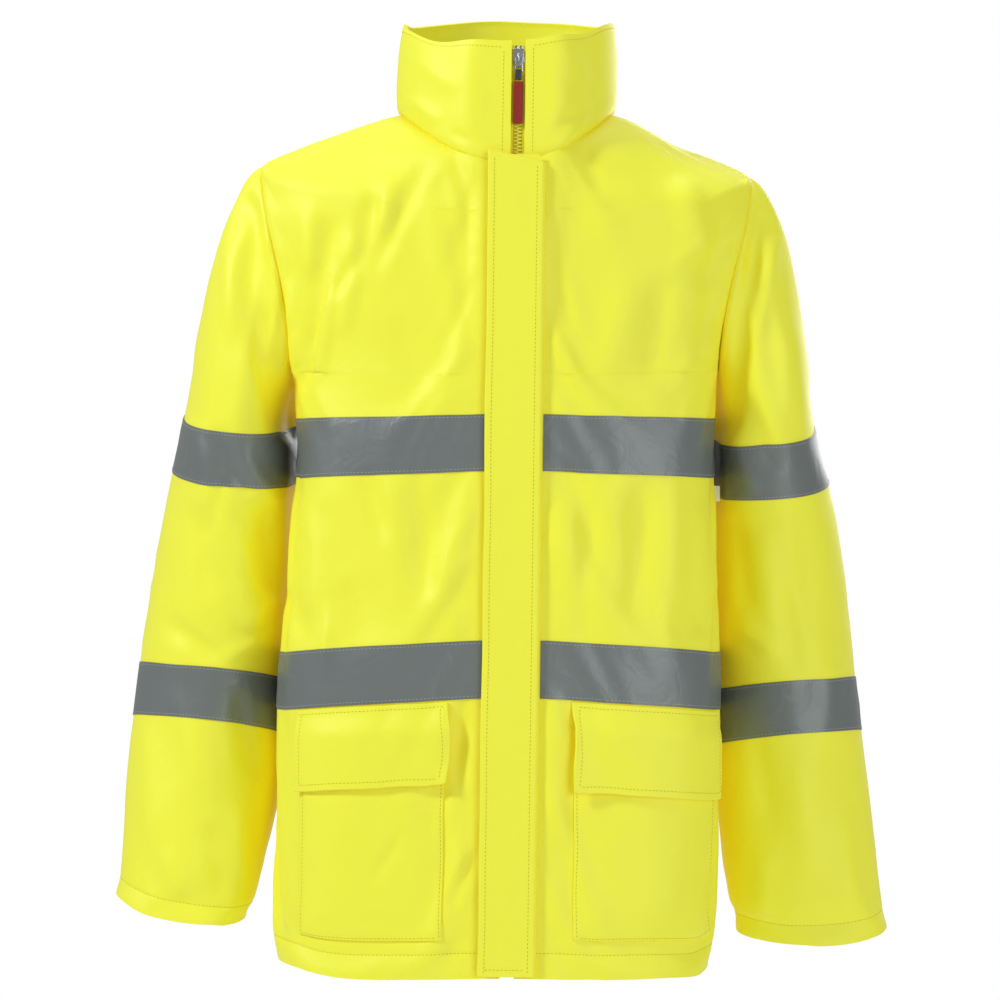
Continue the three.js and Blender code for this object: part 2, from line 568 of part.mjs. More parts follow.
{
  const { bottom, top, plane, tapeWidth, tapeThick, toothReach, toothThick } = ZIP;
  const teethBottom = bottom + 9;
  const tooth = ZIP_POST_ROOM + toothReach;
  for (const [side, sign] of [["right", -1], ["left", 1]]) {
    const span = (from, to) => [Math.min(sign * from, sign * to), Math.max(sign * from, sign * to)];
    const [tapeLow, tapeHigh] = span(tooth + SEAM, tapeWidth);
    const tape = rectangle(tapeLow, plane - tapeThick / 2, tapeHigh, plane + tapeThick / 2);
    upright(`zip_tape_${side}`, tape, bottom, top, "zipTape");
    const [low, high] = span(ZIP_POST_ROOM, tooth);
    const row = rectangle(low, plane - toothThick / 2, high, plane + toothThick / 2);
    upright(`zip_teeth_${side}`, row, teethBottom + SEAM, ZIP_TEETH_TOP, "teeth");
    upright(`zip_top_stop_${side}`, row, SLIDER.centre + SLIDER.length / 2 + SEAM, top, "nickel");
  }
  const box = rectangle(-tooth, plane - toothThick / 2, tooth, plane + toothThick / 2);
  upright("zip_box", box, bottom, teethBottom, "teeth");

  // The slider: two plates joined by a post between the rows, each with lips that close round the teeth.
  const clear = toothThick / 2 + SLIDER.room;
  const lip = SLIDER.slot;
  const wide = SLIDER.width / 2;
  const inner = tooth + SEAM;
  const quarter = [
    [SLIDER.postHalf, clear], [inner, clear], [inner, lip], [wide, lip], [wide, clear + SLIDER.plate],
  ];
  const mirrored = (points, x, y) => points.map(([a, b]) => [a * x, plane + b * y]);
  const outline = [
    ...mirrored(quarter, 1, 1),
    ...mirrored(quarter, -1, 1).reverse(),
    ...mirrored(quarter, -1, -1),
    ...mirrored(quarter, 1, -1).reverse(),
  ];
  const low = SLIDER.centre - SLIDER.length / 2;
  const plateFace = plane - clear - SLIDER.plate;
  upright("zip_slider", outline, low, low + SLIDER.length, "nickel");

  // The bail is an arch on the slider's front plate; the puller's top bar lies under it.
  const barY = plateFace - (BAIL.height - BAIL.thick) / 2;
  const barZ = SLIDER.centre;
  const arch = (reach, rise) => [[barZ - reach, plateFace - rise], [barZ + reach, plateFace - rise]];
  const [outerLow, outerHigh] = arch(BAIL.length / 2, BAIL.height);
  const [innerLow, innerHigh] = arch(BAIL.length / 2 - BAIL.thick, BAIL.height - BAIL.thick);
  const seat = plateFace - SEAM / 2;
  const bail = extruded(
    [[outerLow[0], seat], outerLow, outerHigh, [outerHigh[0], seat],
      [innerHigh[0], seat], innerHigh, innerLow, [innerLow[0], seat]],
    BAIL.width,
  );
  sideways("zip_bail", bail, BAIL.width, "nickel");

  // The puller: a flat frame with one window round the bail and one for the tab's holder.
  const halfPuller = PULLER.width / 2;
  const windowHalf = halfPuller - PULLER.leg;
  const pullerTop = barZ + PULLER.bar / 2;
  const upperEnd = barZ - PULLER.upperWindow;
  const lowerBar = upperEnd - PULLER.bar;
  const pullerEnd = lowerBar - PULLER.lowerWindow - PULLER.bar;
  const frame = extruded(
    rectangle(-halfPuller, pullerEnd, halfPuller, pullerTop),
    PULLER.thick,
    [
      rectangle(-windowHalf, upperEnd, windowHalf, barZ - PULLER.bar / 2),
      rectangle(-windowHalf, pullerEnd + PULLER.bar, windowHalf, lowerBar),
    ],
  );
  frame.rotateX(Math.PI / 2);
  add("zip_puller", frame, "nickel", frontLine).position.y = barY + PULLER.thick / 2;

  // The tab's holder closes round the puller's end bar, and the tab is moulded on below it.
  const endBar = pullerEnd + PULLER.bar / 2;
  const eye = PULLER.bar / 2 + TAB.eye;
  const round = (radius) =>
    Array.from({ length: 12 }, (_, i) => [
      endBar + radius * Math.cos((i * Math.PI) / 6),
      barY + radius * Math.sin((i * Math.PI) / 6),
    ]);
  const holderHalf = TAB.thick / 2;
  const holderBottom = endBar - TAB.holder;
  const shell = [
    ...round(eye + 0.7).filter(([z]) => z >= endBar - 0.01),
    [endBar - 2.2, barY - holderHalf], [holderBottom, barY - holderHalf],
    [holderBottom, barY + holderHalf], [endBar - 2.2, barY + holderHalf],
  ];
  const ordered = shell.sort((a, b) => Math.atan2(a[1] - barY, a[0] - endBar + 3)
    - Math.atan2(b[1] - barY, b[0] - endBar + 3));
  sideways("tab_holder", extruded(ordered, TAB.holderWidth, [round(eye)]), TAB.holderWidth, "tabHolder");
  const tabTop = holderBottom - SEAM;
  const tab = rectangle(-TAB.width / 2, barY - TAB.thick / 2, TAB.width / 2, barY + TAB.thick / 2);
  upright("zip_tab", tab, tabTop - TAB.length, tabTop, "tab");

  // The guard stands behind the zip and keeps it off the wearer.
  const guardFront = plane + clear + SLIDER.plate + SEAM;
  const guard = rectangle(-GUARD.width / 2, guardFront, GUARD.width / 2, guardFront + GUARD.thick);
  upright("zip_guard", guard, GUARD.bottom, GUARD.top, "shell");
}

// An outline in z and y, extruded across the front line by width and centred on the zip.
function sideways(name, geometry, width, finish) {
  geometry.applyMatrix4(new THREE.Matrix4().makeBasis(
    new THREE.Vector3(0, 0, 1), new THREE.Vector3(0, 1, 0), new THREE.Vector3(-1, 0, 0),
  ));
  add(name, geometry, finish, frontLine).position.x = width / 2;
}

// ---- Hanger loop and labels ----------------------------------------------------------------------------

const COLLAR_INNER = LINING_DEPTH + LINING;
const loopEnd = Math.acos((LOOP.span / 2 + COLLAR_SWAY) / COLLAR_HALF_WIDTH);
const loopBackY = collar(loopEnd, 0.15, COLLAR_INNER).y - SEAM;
{
  const half = LOOP.span / 2;
  const low = LOOP.top - LOOP.rise;
  const high = LOOP.top + LOOP.thick;
  const strap = extruded(
    [[-half, low], [-half + LOOP.thick, low], [-half + 6, LOOP.top], [half - 6, LOOP.top],
      [half - LOOP.thick, low], [half, low], [half - 4.5, high], [-half + 4.5, high]],
    LOOP.width,
  );
  strap.rotateX(Math.PI / 2);
  add("hanger_loop", strap, "shell").position.y = loopBackY;
}
{
  const seam = bodyPoint(0, SIDE_LABEL.bottom + SIDE_LABEL.height / 2);
  const tag = new THREE.BoxGeometry(SIDE_LABEL.out, SIDE_LABEL.thick, SIDE_LABEL.height);
  const label = add("side_label", tag, "label");
  label.position.set(seam.x + 3 * SEAM + SIDE_LABEL.out / 2, SIDE_LINE_Y, seam.z);
}

// The origin is the middle of the hanger loop's underside.
jacket.position.set(0, -(loopBackY - LOOP.width / 2), -LOOP.top);
const jacketInFrame = new THREE.Group();
jacketInFrame.add(jacket);

export default jacketInFrame;
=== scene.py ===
"""Foul weather jacket: the cloth, the reflective tape, the zip and the stitching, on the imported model's frame.

Lengths inside this script are millimetres measured from the hem: x to the wearer's left, y into the jacket and
z up from the hem. to_frame() turns them into the frame's metres, whose origin is under the hanger loop.
"""

import math

import bpy
import numpy as np
from mathutils import Matrix, Vector, noise


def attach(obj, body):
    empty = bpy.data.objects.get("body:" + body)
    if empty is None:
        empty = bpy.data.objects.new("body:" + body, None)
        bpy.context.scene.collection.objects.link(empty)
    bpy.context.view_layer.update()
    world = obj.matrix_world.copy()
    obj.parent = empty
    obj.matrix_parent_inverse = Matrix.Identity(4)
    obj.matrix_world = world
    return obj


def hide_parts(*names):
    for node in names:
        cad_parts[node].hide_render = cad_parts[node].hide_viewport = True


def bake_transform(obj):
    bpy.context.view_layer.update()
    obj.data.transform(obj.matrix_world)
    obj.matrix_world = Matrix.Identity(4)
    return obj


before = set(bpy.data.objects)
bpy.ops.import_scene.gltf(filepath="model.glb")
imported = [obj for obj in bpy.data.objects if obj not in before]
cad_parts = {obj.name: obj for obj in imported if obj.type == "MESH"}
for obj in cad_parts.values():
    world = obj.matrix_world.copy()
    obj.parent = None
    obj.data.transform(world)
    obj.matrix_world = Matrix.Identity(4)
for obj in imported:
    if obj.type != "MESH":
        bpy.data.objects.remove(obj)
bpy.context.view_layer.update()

bl_info = {
    "name": "Foul weather jacket",
    "version": (1, 0, 0),
    "blender": (4, 5, 0),
    "location": "View3D > Sidebar > Jacket",
    "description": "Builds a high-visibility foul weather jacket piece by piece",
    "category": "Object",
}

MM = 0.001
HEM_FRONT_Y = -140.0
# The frame's origin, under the middle of the hanger loop, in millimetres from the hem.
ORIGIN = np.array([0.0, 62.9, 794.0])


def to_frame(points):
    return (np.asarray(points, dtype=float) - ORIGIN) * MM


# ---- Sizes and colours that a user would change -----------------------------------------------------------


def length(name, text, value, low=0.0, high=2000.0):
    """A size in millimetres."""
    return bpy.props.FloatProperty(name=name, description=text, default=value, min=low, max=high)


def colour(name, text, value):
    return bpy.props.StringProperty(name=name, description=text + ", as an sRGB hex value", default=value)


class JacketSizes(bpy.types.PropertyGroup):
    """Sizes in millimetres."""

    shell: length("Shell", "Thickness of the outer cloth with its wadding", 2.4, 0.5, 6)
    lining: length("Lining", "Thickness of the lining", 1.2, 0.3, 4)
    tape: length("Tape", "Thickness of the reflective tape", 0.7, 0.2, 2)
    tape_width: length("Tape width", "Width of the reflective tape", 50, 20, 80)
    chest_tape: length("Chest tape", "Height of the chest tape's lower edge", 436)
    waist_tape: length("Waist tape", "Height of the waist tape's lower edge", 240)
    hem_fold: length("Hem fold", "Height of the turned hem", 22, 5, 60)
    stitch: length("Stitch", "Length of a stitch", 3.4, 1.5, 8)
    thread: length("Thread", "Width of the thread", 0.55, 0.2, 2)
    settle: length("Settling", "How far the cloth may move when it settles", 5, 0, 20)
    tooth_pitch: length("Tooth pitch", "Distance from one zip tooth to the next", 3.2, 1, 8)


class JacketColours(bpy.types.PropertyGroup):
    """Colours as sRGB hex values."""

    shell: colour("Shell", "Fluorescent yellow polyester", "E8F140")
    # Painted shade in the weave's hollows: a darker yellow of the same cloth.
    shell_weave_shade: colour("Shell, folds", "The same cloth where its weave lies deep", "DEE016")
    # Painted light: the colour of a faint constant glow on the cloth that lifts and warms its shade.
    painted_fold_shade: colour("Valley", "The shell's yellow deep in a fold", "ECDE00")
    # Painted shade: the deeper yellow laid into folds where ambient occlusion finds them.
    painted_glow: colour("Glow", "Light that the fluorescent dye gives back", "F2C400")
    tape: colour("Tape", "Retroreflective tape", "757C7B")
    lining: colour("Lining", "Lining taffeta", "2A3440")
    # The thread's own colour, painted darker and more ochre to stand in for the shade of the stitch grooves.
    thread: colour("Thread", "Sewing thread", "C8C214")
    zip_tape: colour("Zip tape", "Woven zip tape", "E6E02C")
    teeth: colour("Teeth", "Acetal zip teeth", "DFDC48")
    nickel: colour("Nickel", "Nickel-plated zinc", "BDBFC1")
    tab: colour("Tab", "Moulded rubber tab", "8E2517")
    holder: colour("Holder", "Moulded nylon holder", "33393C")
    label: colour("Label", "Woven satin label", "F2F2EE")


# ---- The jacket's shape -----------------------------------------------------------------------------------

ARMPIT = 526.0
SHOULDER = 711.0
NECK = 756.0
SIDE_Y = -12.0
SWAY = [(0, -9), (120, -7), (250, -4), (440, 2), (ARMPIT, 2), (NECK, 3)]
HALF_WIDTHS = [
    (0, 194), (120, 196), (250, 197), (342, 193), (440, 186), (ARMPIT, 190),
    (600, 209), (660, 222), (697, 222), (SHOULDER, 217), (727, 183), (742, 140), (NECK, 97),
]
BACK_DEPTHS = [
    (0, 131), (200, 128), (350, 122), (450, 126), (560, 131), (650, 120), (SHOULDER, 101), (NECK, 78),
]
FRONT_SQUARENESS = [(0, 0.08), (400, 0.075), (ARMPIT, 0.06), (SHOULDER, 0.03), (NECK, 0)]
BACK_SQUARENESS = [(0, 0.03), (SHOULDER, 0.03), (NECK, 0)]
SIDE_DROP = [(0, 4), (265, 13), (461, 3), (ARMPIT, 0)]
NECK_DROP_FRONT = 52.0
NECK_RISE_BACK = 16.0
FRONT_SLOPE = 0.0492
FRONT_LEAN = 0.0132
ZIP_FOOT_X = 3.0
FLAT_TO = 28.0
ROUND_FROM = 64.0
FRONT_EDGE = 6.0

COLLAR_HALF_WIDTH = 94.5
COLLAR_SWAY = 5.0
COLLAR_BACK_DEPTH = 76.0
COLLAR_FRONT, COLLAR_SIDE, COLLAR_BACK = 811.0, 838.0, 853.0

ARMHOLE_FRONT = math.radians(24)
ARMHOLE_BACK = math.radians(36)
ARMHOLE_CENTRE = (ARMPIT + SHOULDER) / 2
ARMHOLE_HALF = (SHOULDER - ARMPIT) / 2
ARMHOLE_STEPS = 44

SLEEVES = {
    "right": [
        (-239, 27, 503, 50, 84), (-248.5, 42, 400, 57, 80), (-257.5, 48, 290, 64, 74),
        (-270, 35, 170, 67, 60), (-289, 8, 40, 60, 46),
    ],
    "left": [
        (237, 27, 492, 48, 85), (246, 42, 388, 55, 80), (252, 48, 275, 61.5, 74),
        (262, 37, 150, 66, 60), (276, 20, 18, 67, 44),
    ],
}
SHOULDER_BULGE = 165.0
ARMPIT_BULGE = 34.0
SLEEVE_TAPE_CENTRES = (43.0, 272.0)
SEAM = 0.4  # clearance between pieces that are sewn together
WELL_INSIDE = np.array([0.0, 60.0, 0.0])  # from the front into the jacket


def profile(points, x):
    """A smooth curve through (x, value) pairs, read at x."""
    xs, ys = (np.array(v, dtype=float) for v in zip(*points))
    x = np.clip(np.asarray(x, dtype=float), xs[0], xs[-1])
    before = np.concatenate(([0], np.arange(len(xs) - 1)))
    after = np.concatenate((np.arange(1, len(xs)), [len(xs) - 1]))
    slopes = (ys[after] - ys[before]) / (xs[after] - xs[before])
    i = np.clip(np.searchsorted(xs, x, side="right") - 1, 0, len(xs) - 2)
    span = xs[i + 1] - xs[i]
    return hermite((x - xs[i]) / span, ys[i], ys[i + 1], slopes[i] * span, slopes[i + 1] * span)


def hermite(t, start, end, leave, arrive):
    s = 1 - t
    return start * s * s * (1 + 2 * t) + end * t * t * (3 - 2 * t) + leave * t * s * s - arrive * t * t * s


def joined(name):
    """A piece's name as its object carries it."""
    return name.replace(" ", "_")


def smoothstep(x, low, high):
    t = np.clip((np.asarray(x, dtype=float) - low) / (high - low), 0, 1)
    return t * t * (3 - 2 * t)


def front_y(z):
    return HEM_FRONT_Y + FRONT_SLOPE * z


def zip_x(z):
    return ZIP_FOOT_X + FRONT_LEAN * z


def section(angle, squareness):
    size = 1 - squareness
    across = (np.cos(angle) - squareness * np.cos(3 * angle)) / size
    deep = (np.sin(angle) + squareness * np.sin(3 * angle)) / size
    return across, deep


def flatten_front(points):
    """Beside the zip the surface is flat."""
    away = np.abs(points[..., 0] - zip_x(points[..., 2]))
    round_share = np.where(points[..., 1] > SIDE_Y, 1.0, smoothstep(away, FLAT_TO, ROUND_FROM))
    flat = front_y(points[..., 2])
    points[..., 1] = flat + (points[..., 1] - flat) * round_share
    return points


def body_surface(angle, height):
    angle, height = np.broadcast_arrays(np.asarray(angle, float), np.asarray(height, float))
    front = np.sin(angle) < 0
    squareness = np.where(front, profile(FRONT_SQUARENESS, height), profile(BACK_SQUARENESS, height))
    across, deep = section(angle, squareness)
    turn = smoothstep(height, ARMPIT - 60, NECK)
    sideways = np.cos(angle) ** 2
    tilt = np.where(deep < 0, -NECK_DROP_FRONT, NECK_RISE_BACK)
    front_depth = SIDE_Y - front_y(height - NECK_DROP_FRONT * turn)
    depth = np.where(deep < 0, front_depth, profile(BACK_DEPTHS, height) - SIDE_Y)
    return flatten_front(np.stack([
        profile(SWAY, height) + profile(HALF_WIDTHS, height) * across,
        SIDE_Y + depth * deep,
        height + tilt * turn * (1 - sideways) - profile(SIDE_DROP, height) * sideways,
    ], axis=-1))


def collar_surface(angle, rise):
    angle, rise = np.broadcast_arrays(np.asarray(angle, float), np.asarray(rise, float))
    neck = body_surface(angle, np.full_like(rise, NECK))
    across, deep = section(angle, 0.0)
    sideways = np.cos(angle) ** 2
    end = np.where(deep < 0, COLLAR_FRONT, COLLAR_BACK)
    depth = np.where(deep < 0, SIDE_Y - front_y(COLLAR_FRONT), COLLAR_BACK_DEPTH - SIDE_Y)
    top = flatten_front(np.stack([
        COLLAR_SWAY + COLLAR_HALF_WIDTH * across,
        SIDE_Y + depth * deep,
        COLLAR_SIDE * sideways + end * (1 - sideways),
    ], axis=-1))
    return neck + (top - neck) * rise[..., None]


def front_angle(surface, level, distance):
    """The angle at which the front of a surface lies at a distance to the wearer's left of the zip."""
    level = np.asarray(level, float)
    low, high = np.full_like(level, math.pi), np.full_like(level, 2 * math.pi)
    for _ in range(40):
        middle = (low + high) / 2
        point = surface(middle, level)
        before = point[..., 0] < zip_x(point[..., 2]) + distance
        low, high = np.where(before, middle, low), np.where(before, high, middle)
    return (low + high) / 2


def armhole_open(height):
    t = (np.asarray(height, float) - ARMHOLE_CENTRE) / ARMHOLE_HALF
    return np.sqrt(np.clip(1 - t * t, 0, None))


class SleeveShape:
    """round is 0 on the outside of the arm and pi/2 at its front; along is -1 at the armhole, 0 at the biceps,
    and from there millimetres towards the cuff."""

    def __init__(self, side):
        self.side = -1.0 if side == "right" else 1.0
        stations = np.array(SLEEVES[side], float)
        t = np.linspace(0, 1, 400)
        places = np.linspace(0, 1, len(stations))
        self.table = np.stack([profile(list(zip(places, column)), t) for column in stations.T], axis=-1)
        steps = np.linalg.norm(np.diff(self.table[:, :3], axis=0), axis=1)
        self.lengths = np.concatenate(([0], np.cumsum(steps)))
        self.length = self.lengths[-1]

    def armhole(self, around):
        reach = np.where(np.sin(around) > 0, ARMHOLE_FRONT, ARMHOLE_BACK)
        turn = reach * np.sin(around)
        angle = math.pi + turn if self.side < 0 else 2 * math.pi - turn
        return body_surface(angle, ARMHOLE_CENTRE + ARMHOLE_HALF * np.cos(around))

    def ring(self, around, distance):
        distance = np.clip(distance, 0, self.length)
        centre = np.stack([np.interp(distance, self.lengths, self.table[:, k]) for k in range(5)], axis=-1)
        ahead = np.clip(distance + 1, 0, self.length)
        behind = np.clip(distance - 1, 0, self.length)
        down = np.stack([
            np.interp(ahead, self.lengths, self.table[:, k]) - np.interp(behind, self.lengths, self.table[:, k])
            for k in range(3)
        ], axis=-1)
        down /= np.linalg.norm(down, axis=-1, keepdims=True)
        out = np.zeros_like(down)
        out[..., 0] = self.side
        out -= down * np.sum(out * down, axis=-1, keepdims=True)
        out /= np.linalg.norm(out, axis=-1, keepdims=True)
        forward = self.side * np.cross(down, out)
        return (centre[..., :3] + out * (centre[..., 3] * np.cos(around))[..., None]
                + forward * (centre[..., 4] * np.sin(around))[..., None])

    def point(self, around, along):
        around, along = np.broadcast_arrays(np.asarray(around, float), np.asarray(along, float))
        tube = self.ring(around, np.maximum(along, 0))
        t = np.clip(along + 1, 0, 1)
        high = (1 + np.cos(around)) / 2
        leave = np.stack([self.side * (0.45 + 0.45 * high), np.zeros_like(high), -0.85 + 0.4 * high], axis=-1)
        bulge = ARMPIT_BULGE + (SHOULDER_BULGE - ARMPIT_BULGE) * high
        leave *= (bulge / np.linalg.norm(leave, axis=-1))[..., None]
        start = self.armhole(around) + leave * (SEAM / bulge)[..., None]
        end = self.ring(around, np.zeros_like(along))
        arrive = (self.ring(around, np.ones_like(along)) - end) * bulge[..., None] * 1.15
        cap = hermite(t[..., None], start, end, leave, arrive)
        return np.where((along < 0)[..., None], cap, tube)


# ---- Sheets: a grid of points that cloth, tape and stitches all read -------------------------------------


def grid_normals(points, ring, inside):
    """Unit normals of a grid of points, facing away from the points inside."""
    if ring:
        around = np.roll(points, -1, axis=1) - np.roll(points, 1, axis=1)
    else:
        around = np.gradient(points, axis=1)
    up = np.gradient(points, axis=0)
    normals = np.cross(around, up)
    size = np.linalg.norm(normals, axis=-1, keepdims=True)
    normals = normals / np.maximum(size, 1e-9)
    wrong = np.sum(normals * (points - inside), axis=-1)
    return normals if np.mean(wrong) > 0 else -normals


class Sheet:
    """A surface as rows of points at given levels, with columns at shares 0 to 1 across each row."""

    def __init__(self, levels, shares, points, ring, inside):
        self.levels, self.shares, self.points = np.asarray(levels, float), np.asarray(shares, float), points
        self.ring, self.inside = ring, inside
        self.normals = grid_normals(points, ring, inside)

    def moved(self, by):
        return Sheet(self.levels, self.shares, self.points + by, self.ring, self.inside)

    def raised(self, by):
        return self.moved(self.normals * np.asarray(by)[..., None])

    def _read(self, grid, level, share):
        level, share = np.broadcast_arrays(np.asarray(level, float), np.asarray(share, float))
        rows, columns = self.levels, self.shares
        if self.ring:
            columns = np.append(columns, 1.0)
            grid = np.concatenate([grid, grid[:, :1]], axis=1)
            share = share % 1.0
        i = np.clip(np.searchsorted(rows, level, side="right") - 1, 0, len(rows) - 2)
        j = np.clip(np.searchsorted(columns, share, side="right") - 1, 0, len(columns) - 2)
        a = np.clip((level - rows[i]) / (rows[i + 1] - rows[i]), 0, 1)[..., None]
        b = np.clip((share - columns[j]) / (columns[j + 1] - columns[j]), 0, 1)[..., None]
        low = grid[i, j] * (1 - b) + grid[i, j + 1] * b
        high = grid[i + 1, j] * (1 - b) + grid[i + 1, j + 1] * b
        return low * (1 - a) + high * a

    def at(self, level, share, lift=0.0):
        """Points on the sheet, lifted off it by lift."""
        normal = self._read(self.normals, level, share)
        normal = normal / np.linalg.norm(normal, axis=-1, keepdims=True)
        return self._read(self.points, level, share) + normal * np.broadcast_to(lift, normal.shape[:-1])[..., None]

    def share_at(self, level, distance):
        """The share at which a front sheet lies at a distance to the wearer's left of the zip."""
        shares = np.linspace(0, 1, 801)
        found = []
        for one in np.atleast_1d(level):
            row = self._read(self.points, np.full_like(shares, one), shares)
            away = row[:, 0] - zip_x(row[:, 2])
            order = np.argsort(away)
            found.append(np.interp(distance, away[order], shares[order]))
        return np.array(found)


def steps_between(keys, step, fine=()):
    """Places from the first key to the last, through every key, at most step apart."""
    places = [float(keys[0])]
    for start, end in zip(keys, keys[1:]):
        count = max(1, math.ceil((end - start) / step))
        places += [start + (end - start) * k / count for k in range(1, count + 1)]
    return np.array(sorted(set(np.round(places + list(fine), 4))))


def even_columns(surface, levels, starts, ends, shares):
    """Points at even distances along each row of a surface, from one angle to another."""
    rows = []
    for level, start, end in zip(levels, starts, ends):
        angles = np.linspace(start, end, 500)
        line = surface(angles, np.full_like(angles, level))
        run = np.concatenate(([0], np.cumsum(np.linalg.norm(np.diff(line, axis=0), axis=1))))
        wanted = np.interp(np.asarray(shares) * run[-1], run, angles)
        rows.append(surface(wanted, np.full_like(wanted, level)))
    return np.stack(rows)


def edged_shares(count, near):
    """Even shares from 0 to 1, with two more close to each end for a seam's roll."""
    even = np.linspace(0, 1, count)
    return np.array(sorted(set([*even, near, 2.4 * near, 1 - near, 1 - 2.4 * near])))


# ---- Folds and settling -----------------------------------------------------------------------------------


def along_segment(x, z, fold):
    """How near each point is to a fold, from 0 to 1, with soft ends."""
    x0, z0, x1, z1, width, _ = fold
    dx, dz = x1 - x0, z1 - z0
    run = dx * dx + dz * dz
    t = ((x - x0) * dx + (z - z0) * dz) / run
    near = np.clip(t, 0, 1)
    away = np.hypot(x - x0 - near * dx, z - z0 - near * dz)
    fade = smoothstep(t, -0.25, 0.3) * (1 - smoothstep(t, 0.7, 1.25))
    return np.exp(-((away / width) ** 2)) * fade


def folds_depth(points, folds):
    """The height of listed folds, each given as x, z, x, z, width and height, seen from the front."""
    depth = np.zeros(points.shape[:2])
    for fold in folds:
        depth += fold[5] * along_segment(points[..., 0], points[..., 2], fold)
    return depth


def fold_limit(depth, most):
    return most * np.tanh(depth / most)


def waves(points, scale, stretch, seed):
    """Soft uneven waves between about -1 and 1, longer upright than across."""
    flat = points.reshape(-1, 3)
    values = [
        noise.noise(Vector((p[0] / scale + seed, p[1] / scale, p[2] / (scale * stretch))))
        for p in flat
    ]
    return np.array(values).reshape(points.shape[:2])


def settle(sheet, pins, cap, frames=18, grow=0.02, weight=0.35):
    """Lets the cloth buckle and hang, as simulated, and returns how far each point moves."""
    rows, columns = sheet.points.shape[:2]
    mesh = grid_mesh("settling", to_frame(sheet.points), sheet.ring)
    cloth = bpy.data.objects.new("settling", mesh)
    bpy.context.collection.objects.link(cloth)
    group = cloth.vertex_groups.new(name="pinned")
    flat = pins.reshape(-1)
    for value in np.unique(np.round(flat, 2)):
        if value > 0:
            group.add([int(k) for k in np.nonzero(np.abs(flat - value) < 0.006)[0]], float(value), "REPLACE")
    modifier = cloth.modifiers.new("cloth", "CLOTH")
    settings = modifier.settings
    settings.quality = 6
    settings.mass = 0.3
    settings.tension_stiffness = 25
    settings.compression_stiffness = 25
    settings.shear_stiffness = 8
    settings.bending_stiffness = 1.2
    settings.tension_damping = settings.compression_damping = settings.shear_damping = 20
    settings.air_damping = 3
    settings.vertex_group_mass = "pinned"
    settings.shrink_min = -grow
    settings.effector_weights.gravity = weight
    modifier.collision_settings.use_collision = False
    modifier.collision_settings.use_self_collision = False
    modifier.point_cache.frame_start = 1
    modifier.point_cache.frame_end = frames
    scene = bpy.context.scene
    for number in range(1, frames + 1):
        scene.frame_set(number)
    after = cloth.evaluated_get(bpy.context.evaluated_depsgraph_get()).data
    moved = np.empty(len(after.vertices) * 3)
    after.vertices.foreach_get("co", moved)
    moved = moved.reshape(rows, columns, 3) / MM + ORIGIN
    bpy.data.objects.remove(cloth)
    scene.frame_set(1)
    shift = moved - sheet.points
    size = np.linalg.norm(shift, axis=-1, keepdims=True)
    return shift * cap * np.tanh(size / cap) / np.maximum(size, 1e-6)


# ---- Meshes -----------------------------------------------------------------------------------------------


def grid_faces(rows, columns, ring, start=0):
    across = columns if ring else columns - 1
    i, j = np.meshgrid(np.arange(rows - 1), np.arange(across), indexing="ij")
    k = (j + 1) % columns
    faces = np.stack([i * columns + j, i * columns + k, (i + 1) * columns + k, (i + 1) * columns + j], axis=-1)
    return faces.reshape(-1, 4) + start


def grid_mesh(name, points, ring):
    rows, columns = points.shape[:2]
    mesh = bpy.data.meshes.new(name)
    mesh.from_pydata(points.reshape(-1, 3).tolist(), [], grid_faces(rows, columns, ring).tolist())
    return mesh


def add_piece(name, points, faces, material, smooth=35.0):
    """Adds a finished piece from points in the frame's metres."""
    name = joined(name)
    mesh = bpy.data.meshes.new(name)
    mesh.from_pydata(np.asarray(points).tolist(), [], np.asarray(faces).tolist())
    piece = bpy.data.objects.new(name, mesh)
    bpy.context.collection.objects.link(piece)
    mesh.materials.append(material)
    turn_out(piece)
    shade_smooth(piece, smooth)
    return piece


def choose(*pieces):
    bpy.ops.object.select_all(action="DESELECT")
    for piece in pieces:
        piece.select_set(True)
    bpy.context.view_layer.objects.active = pieces[0]


def turn_out(piece):
    """Makes a closed piece's faces point outwards."""
    mesh = piece.data
    mesh.update()
    mesh.calc_loop_triangles()
    count = len(mesh.loop_triangles)
    corners = np.empty(count * 3, dtype=np.int64)
    mesh.loop_triangles.foreach_get("vertices", corners)
    places = np.empty(len(mesh.vertices) * 3)
    mesh.vertices.foreach_get("co", places)
    a, b, c = places.reshape(-1, 3)[corners.reshape(-1, 3)].transpose(1, 0, 2)
    if np.sum(a * np.cross(b, c)) < 0:
        mesh.flip_normals()


def shade_smooth(piece, angle):
    choose(piece)
    bpy.ops.object.shade_smooth_by_angle(angle=math.radians(angle))


def apply_all(piece):
    choose(piece)
    for modifier in list(piece.modifiers):
        bpy.ops.object.modifier_apply(modifier=modifier.name)


